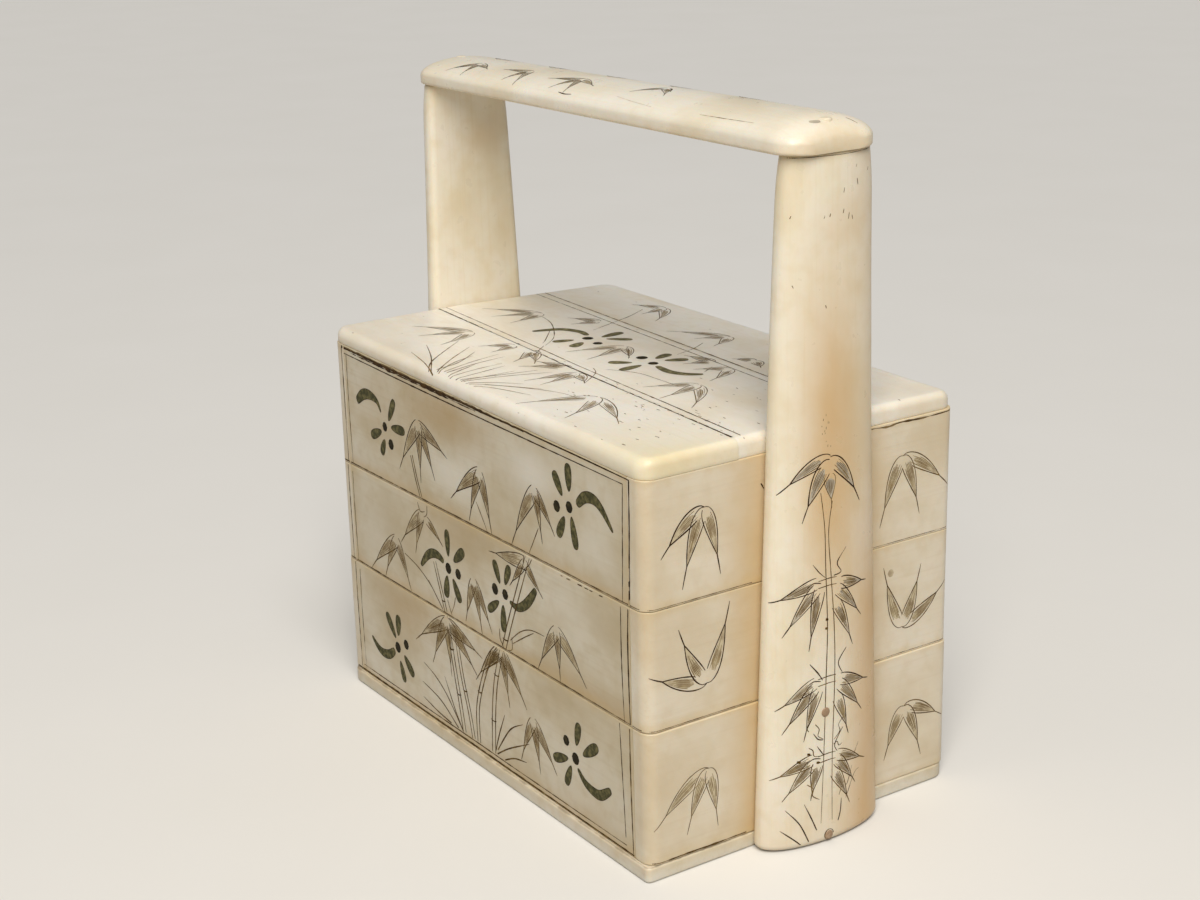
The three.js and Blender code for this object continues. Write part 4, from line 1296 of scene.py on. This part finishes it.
def upright_foot(sheet):
    """Grass, scratches and a round mark at the foot, and the seam under the bar."""
    for blade in ([(-5, 1.4), (-7, 5.6), (-9.8, 9)], [(-3.2, 3.4), (-4.4, 6.2), (-6, 9.6)],
                  [(-6.7, 1.1), (-8.5, 2.8), (-10.8, 4.8)], [(2, 4), (2.6, 6), (2.8, 8.6)]):
        stroke(sheet, blade, 0.12, start=0.9, end=0.3)
    for scratch in ([(2.2, 9.4), (3.4, 12), (4.2, 11), (5.6, 14.6)], [(4, 8.2), (6.2, 12.6), (7.6, 13.4)],
                    [(5.6, 16), (7.4, 19)]):
        stroke(sheet, scratch, 0.07, "grime", press=0.9)
    ring = [(-0.2 + 1.05 * math.cos(0.5 * k), 1.75 + 1.05 * math.sin(0.5 * k)) for k in range(12)]
    stroke(sheet, ring, 0.14, "grime", press=0.9)
    stroke(sheet, [(-9.4, 133.7), (-3, 133.75), (3, 133.7), (9.8, 133.75)], 0.06, "grime", press=1.0)


def upright_pores(sheet):
    """Pores above the crown of leaves, and scuffs below the bar."""
    for _ in range(12):
        x, z = hand.gauss(-1.5, 0.6), hand.uniform(79.5, 87)
        stroke(sheet, [(x, z), (x + 0.05, z + hand.uniform(0.2, 0.5))], 0.07, "grime")
    for x, z, rise in ((-8, 123.4, 0.5), (-2, 123, 0.5), (-0.8, 123.2, 0.6), (2.3, 127.3, 0.9),
                       (2.2, 123.6, 0.8), (3.5, 122.6, 1.2), (4.4, 122.2, -0.8), (-7.8, 111, -0.5),
                       (-1.6, 106.8, -0.6), (5.7, 128.4, -1.2), (5.4, 131.3, 0.5), (8.9, 130.2, 0.6)):
        stroke(sheet, [(x - 0.1, z - rise / 2), (x, z), (x + 0.1, z + rise / 2)], 0.09, "hatch")


def lid_seams(sheet):
    """Lines along the two seams."""
    seam = [(-58.6, -10.6), (-25, -12), (5, -13.5), (30, -14.6), (52, -15.7), (56.2, -15.9), (57.5, -16)]
    stroke(sheet, [(x, y - 0.27) for x, y in seam], 0.19, start=0.8, end=1.0, press=0.5)
    stroke(sheet, [(x, y + 1.7) for x, y in seam], 0.13, "grime", start=0.6, end=1.0, press=0.8)
    stroke(sheet, [(x, y + 1.75) for x, y in seam[3:]], 0.13, press=0.9)
    seam = [(-58.6, 17.6), (-20, 16), (10, 14.8), (34, 13.7), (58.6, 12.7)]
    stroke(sheet, [(x, y + 0.25) for x, y in seam], 0.16, "grime", press=0.8)
    stroke(sheet, [(x, y - 2.1) for x, y in seam], 0.13, "grime", press=0.8)


def lid_orchids(sheet):
    """Two orchids on the middle strip."""
    orchid(sheet, [(-16.7, 2), (-12, 1.4)],
           [[(-15.7, 5), (-16.7, 11)], [(-14, 5), (-10.3, 9.2)], [(-17.2, -1.2), (-18.6, -5.7)],
            [(-14.5, -0.8), (-12.6, -4.8)]],
           [(-18.8, 3.3), (-22.5, 3.7), (-26.6, 1.4), (-28.6, -4.5)], paint="moss")
    orchid(sheet, [(3, 2.3), (8, 1.6)],
           [[(5.4, 4.2), (4, 8.7)], [(7.6, 4.8), (9.8, 9.2)], [(5, -1.6), (1.8, -5.3)],
            [(7.7, -1.2), (8.3, -6.8)]],
           [(10.2, 1), (15, 0.5), (18.5, 2), (20.8, 4.8)], paint="moss")


def lid_leaves(sheet):
    """Sprigs over all three strips, with their stems."""
    looks = {"width": 1.3, "weight": 0.1, "bell": 0.7, "droop": 0.25, "paint": "faint", "hatching": 5,
             "wash": 0.42, "fill": "slate"}
    sprigs(sheet, looks,
           [(-41, 5.6), (-52.6, -2.8), (-45, -5), (-37.6, -4.6)],
           [(-27.6, 12.4), (-34.4, 8.4), (-29, 5.8)],
           [(-29.5, 31.4), (-37, 27.6), (-28, 24), (-20.6, 22.6)],
           [(0.4, 27), (-12, 19.4), (-3, 20.2), (4.4, 19.8)],
           [(-6.4, 4.4), (2, -0.4), (-2.7, -7.6), (-10.2, -8)],
           [(26.6, -0.8), (38.4, -11.2), (29.4, -12.2), (21, -10.2)],
           [(21, 11.4), (25.6, 2.8), (16.6, 5.4)],
           [(14.5, 12.2), (6.6, 10.4), (12, 6.2)],
           [(-36, -15.6), (-48.6, -23.2), (-40.6, -26.2), (-31.2, -26)],
           [(-21, -14), (-25.4, -20.2), (-19.6, -20.6)],
           [(-15.4, -12.9), (-6.6, -18), (-10.4, -20.8)],
           [(0.6, -13.9), (-8.6, -17), (-7, -21.6)],
           [(4.8, -15), (2.6, -26.2), (7, -25.2), (11.8, -17.8)],
           [(21.6, -21.3), (15, -36), (28.8, -33.7), (38.2, -27.8)],
           [(19, 19.4), (14.8, 16.6), (24, 17)])
    for stem in ([(-38.6, 4.4), (-33, 3), (-27, 0), (-21, -4), (-17, -8.6)],
                 [(-27, -1), (-21, -6), (-19, -8)],
                 [(-31.6, 27), (-28, 21), (-25.6, 15.6), (-22, 7)], [(1, 19.6), (3.6, 15), (5.4, 9.6)],
                 [(25, -4.4), (18, -4.6), (12, -5.2), (6, -8.6)], [(17.4, 9.6), (19.6, 6)],
                 [(-5, 4.6), (-1.6, 2), (1.6, 0.2)], [(-17, -9), (-14.4, -12), (-12, -14.6)],
                 [(3.6, -10.2), (7, -12), (11.4, -17.4)]):
        stroke(sheet, stem, 0.09, "faint", press=0.7)


def lid_grass(sheet):
    """A tuft of grass from the front edge."""
    for blade in ([(-17, -37), (-22, -33), (-31.6, -21.4)], [(-16, -37), (-24, -32.4), (-33, -28.4)],
                  [(-15, -37.2), (-22, -35.4), (-30, -33.8)], [(-15.4, -36), (-17, -30), (-22, -23)],
                  [(-13, -35.6), (-15.6, -28), (-17.4, -20)], [(-12, -35.6), (-14, -28), (-15, -20)],
                  [(-10, -36.4), (-12, -32), (-13.6, -28)], [(-7, -36.4), (-8, -30), (-9, -23.6)],
                  [(-6, -36), (-4, -28), (-2.2, -20)], [(-4.6, -36), (-2.4, -27), (0.8, -18.4)],
                  [(-2.4, -36), (3, -31.6), (9.4, -27.4), (15, -25), (19.6, -24.6)],
                  [(-0.6, -36), (4, -33.4), (12, -30.6)], [(0, -33.8), (5, -30), (10, -26.4)],
                  [(-14.4, -36.4), (-20, -30), (-26, -22)], [(-13.6, -36.6), (-17.4, -31), (-19.6, -25)],
                  [(-9, -36.6), (-10.4, -30), (-11, -23)], [(-5.2, -36.2), (-4.8, -30), (-4.6, -24)],
                  [(-3.4, -36.2), (0.6, -31), (4.4, -27.6)]):
        stroke(sheet, blade, 0.11, hand.choice(("faint", "faint", "hatch")), start=1.0, end=0.35, press=0.6)


def lid_pores(sheet):
    """Open pores, most of them towards the front right."""
    for _ in range(90):
        x, y = hand.gauss(38, 14), hand.gauss(-17, 11)
        if abs(x) < 57 and abs(y) < 36:
            reach = hand.uniform(0.15, 0.5)
            stroke(sheet, [(x - reach, y), (x + reach, y + hand.uniform(-0.2, 0.2))],
                   hand.uniform(0.06, 0.13), "grime")


def bar_sprigs(sheet):
    """Sprigs along the crown of the bar: in front nearer its left end, behind in an even row."""
    looks = {"width": 0.95, "weight": 0.085, "hatching": 4, "wash": 0.3, "fill": "slate"}
    sprigs(sheet, looks,
           [(-48, -3.2), (-54, -8.6), (-47, -9.2), (-41.6, -5.4)],
           [(-28.4, -2.8), (-37.4, -4), (-31.2, -8.4), (-25.6, -9.2)],
           [(-9, -2.6), (-18.6, -4.8), (-13, -8.4), (-6.8, -9.2), (-1.6, -5)],
           [(15.6, 0.4), (10.6, -4.8), (19.6, -1.4), (21, -4.2)])
    for x in (-52, -30, -8, 14, 36):
        sprigs(sheet, looks, [(x, 4.6), (x - 8, 8.4), (x - 1.4, 9.6), (x + 5.6, 8.6)])


def bar_nicks(sheet):
    """Scratches in front and two marks at the right end."""
    stroke(sheet, [(-8.4, -8.9), (-6, -9.1), (-3.8, -8.9)], 0.1)
    stroke(sheet, [(10, -7.3), (16, -8), (23, -8.5)], 0.04, "wash", press=0.9)
    stroke(sheet, [(38, -8.3), (46, -8.2), (53.6, -8)], 0.055, "hatch", start=0.5, end=0.3, press=1.0)
    stroke(sheet, [(62.9, -3.2), (63.3, -2.2), (63.5, -1.2)], 0.34, "slate", press=0.9)
    stroke(sheet, [(62.9, 5.1), (63.7, 5.9), (64.4, 6.6)], 0.1, "grime")


def mirrored(sheet):
    """The sheet for the other side of the box."""
    return [([Vector((-p.x, p.y)) for p in path], widths, paint) for path, widths, paint in sheet]


def cropped(sheet, low, high, reach):
    """The runs of each stroke inside a band of height and a reach to either side."""
    runs = []
    for path, widths, paint in sheet:
        run = ([], [], paint)
        for p, w in zip(path, widths):
            if low < p.y < high and abs(p.x) < reach:
                run[0].append(p)
                run[1].append(w)
            elif run[0]:
                runs.append(run)
                run = ([], [], paint)
        runs.append(run)
    return [run for run in runs if len(run[0]) > 1]


# spacing of points along a ribbon, and reach of the rays that find the bone under it
RIBBON_STEP = 0.3
RAY = 14


def engraving_tree():
    """Turns each drawn line into a flat ribbon of its own width and lays it on the bone under it."""
    sockets = {"Ground": "Object", "Step": "Float", **{label.title(): "Material" for label in PAINTS}}
    tree, given = tree_with("engraved_strokes", sockets)
    ground = add(tree, "GeometryNodeObjectInfo", {"Object": given["Ground"]}).outputs["Geometry"]
    lines = add(tree, "GeometryNodeMeshToCurve", {"Mesh": given["Geometry"]}).outputs[0]
    even = add(tree, "GeometryNodeResampleCurve", {"Curve": lines, "Length": given["Step"]},
               mode="LENGTH").outputs[0]
    out = add(tree, "GeometryNodeInputNamedAttribute", {"Name": "out"}, data_type="FLOAT_VECTOR").outputs[0]
    width = add(tree, "GeometryNodeInputNamedAttribute", {"Name": "width"}).outputs[0]
    lift = add(tree, "GeometryNodeInputNamedAttribute", {"Name": "lift"}).outputs[0]
    paint = add(tree, "GeometryNodeInputNamedAttribute", {"Name": "paint"}).outputs[0]
    upright = add(tree, "GeometryNodeSetCurveNormal", {"Curve": even, "Normal": out}, mode="FREE").outputs[0]
    flat = add(tree, "GeometryNodeCurvePrimitiveLine", {"Start": (0, -1, 0), "End": (0, 1, 0)}).outputs[0]
    flat = add(tree, "GeometryNodeResampleCurve", {"Curve": flat, "Count": 3}).outputs[0]
    ribbon = add(tree, "GeometryNodeCurveToMesh",
                 {"Curve": upright, "Profile Curve": flat, "Scale": width}).outputs[0]
    inwards = add(tree, "ShaderNodeVectorMath", {0: out, "Scale": -1.0}, operation="SCALE").outputs[0]
    cast = add(tree, "GeometryNodeRaycast", {"Target Geometry": ground, "Ray Direction": inwards,
                                             "Ray Length": RAY * MM})
    missed = add(tree, "FunctionNodeBooleanMath", {0: cast.outputs["Is Hit"]}, operation="NOT").outputs[0]
    rise = add(tree, "ShaderNodeVectorMath", {0: cast.outputs["Hit Normal"], "Scale": lift},
               operation="SCALE").outputs[0]
    place = add(tree, "ShaderNodeVectorMath", {0: cast.outputs["Hit Position"], 1: rise},
                operation="ADD").outputs[0]
    hit = add(tree, "GeometryNodeDeleteGeometry", {"Geometry": ribbon, "Selection": missed}).outputs[0]
    laid = add(tree, "GeometryNodeSetPosition", {"Geometry": hit, "Position": place}).outputs[0]
    laid = add(tree, "GeometryNodeRealizeInstances", {"Geometry": laid}).outputs[0]
    for label, number in PAINT_NUMBER.items():
        mine = add(tree, "FunctionNodeCompare", {0: paint, 1: number, "Epsilon": 0.3}, operation="EQUAL")
        laid = add(tree, "GeometryNodeSetMaterial", {"Geometry": laid, "Selection": mine.outputs[0],
                                                     "Material": given[label.title()]}).outputs[0]
    add(tree, "NodeGroupOutput", {"Geometry": laid})
    return tree


# planes that the sheets are drawn on, clear of the bone: a middle, two directions and the way outwards
WALL_PLANE = SIDE + 3
END_PLANE = 62.5
UPRIGHT_PLANE = 70
LID_PLANE = 87
BAR_PLANE = 143
X, Y, Z = Vector((1, 0, 0)), Vector((0, 1, 0)), Vector((0, 0, 1))
FACES = {"front": (-Y * WALL_PLANE, X, Z, -Y), "back": (Y * WALL_PLANE, -X, Z, Y),
         "right": (X * END_PLANE, Y, Z, X), "left": (-X * END_PLANE, -Y, Z, -X),
         "right_upright": (X * UPRIGHT_PLANE, Y, Z, X), "left_upright": (-X * UPRIGHT_PLANE, -Y, Z, -X),
         "lid": (Z * LID_PLANE, X, Y, Z), "bar": (Z * BAR_PLANE, X, Y, Z)}
WALLS = ("front", "back", "right", "left")
# how far to either side the walls are engraved, and how near to their feet and rims
FRONT_REACH = 58
END_REACH = 36.6
FOOT_CLEAR = 0.25
RIM_CLEAR = 0.2

front = drawn(front_border, front_orchids, front_leaves, front_stalks)
end = drawn(end_sprigs, end_seams)
stalk = drawn(upright_stalk, upright_nodes, upright_foot, upright_pores)
crown = drawn(bar_sprigs, bar_nicks)
cover = drawn(lid_seams, lid_orchids, lid_leaves, lid_grass, lid_pores)
sheets = {body: [] for body in BODIES}
for tier, body in TIERS.items():
    low, high = extent(f"{tier}_front_wall")
    for face, sheet, reach in (("front", front, FRONT_REACH), ("back", mirrored(front), FRONT_REACH),
                               ("right", end, END_REACH), ("left", mirrored(end), END_REACH)):
        sheets[body].append((face, cropped(sheet, low.z + FOOT_CLEAR, high.z - RIM_CLEAR, reach)))
sheets["base_and_handle"] += [("right_upright", stalk), ("left_upright", mirrored(stalk)), ("bar", crown)]
sheets["lid"].append(("lid", cover))


def lines_in_space(parts):
    """The strokes of a body's sheets as points and edges in space, with columns for the ribbons."""
    points, edges = [], []
    columns = {"width": [], "out": [], "paint": [], "lift": []}
    for face, strokes in parts:
        origin, across, up, out = FACES[face]
        for path, widths, paint in strokes:
            edges += [(len(points) + i, len(points) + i + 1) for i in range(len(path) - 1)]
            flat = [origin + across * p.x + up * p.y for p in path]
            points += [p + Z * rise_at(p.x, p.z) for p in flat] if face in WALLS else flat
            columns["width"] += [w * MM for w in widths]
            columns["out"] += [out] * len(path)
            columns["paint"] += [PAINT_NUMBER[paint]] * len(path)
            columns["lift"] += [PAINTS[paint][1] * MM] * len(path)
    return points, edges, columns


def joined_bone(body):
    """The bone pieces of a body as one object for the rays."""
    merged = bmesh.new()
    for piece in bone_pieces[body]:
        merged.from_mesh(piece.data)
    ground = link("ground", bpy.data.meshes.new("ground"))
    merged.to_mesh(ground.data)
    merged.free()
    return ground


ENGRAVING = engraving_tree()
finishes = {label.title(): finish for label, (finish, _) in PAINTS.items()}
for body, parts in sheets.items():
    ground = joined_bone(body)
    engraving = wire(f"{body}_engraving", *lines_in_space(parts))
    grown(engraving, ENGRAVING, {"Ground": ground, "Step": RIBBON_STEP * MM, **finishes})
    bpy.data.objects.remove(ground)
    engraving.data.shade_smooth()
    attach(engraving, body)


# stage: pale floor, soft light, camera

# floor: pale paper with a faint cloud, greyer where it throws light back on the box
FLOOR_REACH = 5000
FLOOR_DROP = 0.02
PAPER_CLOUD = 60
floor_material, tree, shader = blank_material("pale_paper_floor")
place = add(tree, "ShaderNodeTexCoord").outputs["Object"]
fibre = add(tree, "ShaderNodeTexNoise",
            {"Vector": place, "Scale": 1 / (PAPER_CLOUD * MM), "Detail": 3.0}).outputs[0]
paper = add(tree, "ShaderNodeMix", {0: fibre, 6: linear("#E6E4DF"), 7: linear("#EAE8E4")},
            data_type="RGBA").outputs[2]
rays = add(tree, "ShaderNodeLightPath").outputs
seen = rays["Is Camera Ray"]
for kind in ("Is Glossy Ray", "Is Transmission Ray"):
    seen = add(tree, "ShaderNodeMath", {0: seen, 1: rays[kind]}, operation="MAXIMUM").outputs[0]
mix = add(tree, "ShaderNodeMix", {0: seen, 6: linear("#A5A29C"), 7: paper}, data_type="RGBA")
tree.links.new(mix.outputs[2], shader.inputs["Base Color"])
shader.inputs["Roughness"].default_value = 0.9
turns = [math.radians(a) for a in range(0, 360, 6)]
rim = [(FLOOR_REACH * math.cos(a), FLOOR_REACH * math.sin(a), -FLOOR_DROP) for a in turns]
floor = make("floor", rim, [list(range(len(rim)))])
floor.data.materials.append(floor_material)

world = bpy.data.worlds.new("studio")
scene.world = world
world.use_nodes = True
sky = world.node_tree.nodes["Background"]
sky.inputs["Color"].default_value = linear("#F4F5F7")
sky.inputs["Strength"].default_value = 0.27


def lamp(name, kind, place, target, strength, **settings):
    """A lamp at a place, turned to its target."""
    light = bpy.data.lights.new(name, kind)
    light.energy = strength
    for key, value in settings.items():
        setattr(light, key, value)
    obj = bpy.data.objects.new(name, light)
    scene.collection.objects.link(obj)
    obj.location = place
    obj.rotation_euler = (Vector(target) - Vector(place)).to_track_quat("-Z", "Y").to_euler()


lamp("key_light", "SUN", (0.8, -0.45, 1.45), (0, 0, 0.06), 1.95, angle=math.radians(36),
     color=linear("#FFFBF5")[:3])
lamp("near_light", "AREA", (0.42, -0.32, 0.44), (0.03, -0.01, 0.1), 1.4, size=0.22,
     color=linear("#FFF8EC")[:3])

# camera of the photo: its place and what it looks at in millimetres, its roll in degrees
CAMERA_PLACE = Vector((337.62, -231.68, 195.07))
CAMERA_TARGET = Vector((-10.05, 0, 60.38))
CAMERA_ROLL = -1.453
lens = bpy.data.cameras.new("camera")
lens.lens = 61.26
lens.sensor_width = 36
lens.sensor_fit = "HORIZONTAL"
lens.clip_start = 0.01
camera = bpy.data.objects.new("camera", lens)
scene.collection.objects.link(camera)
aim = (CAMERA_TARGET - CAMERA_PLACE).to_track_quat("-Z", "Y").to_matrix()
turned = aim @ Matrix.Rotation(math.radians(CAMERA_ROLL), 3, "Z")
camera.matrix_world = Matrix.Translation(CAMERA_PLACE * MM) @ turned.to_4x4()
scene.camera = camera
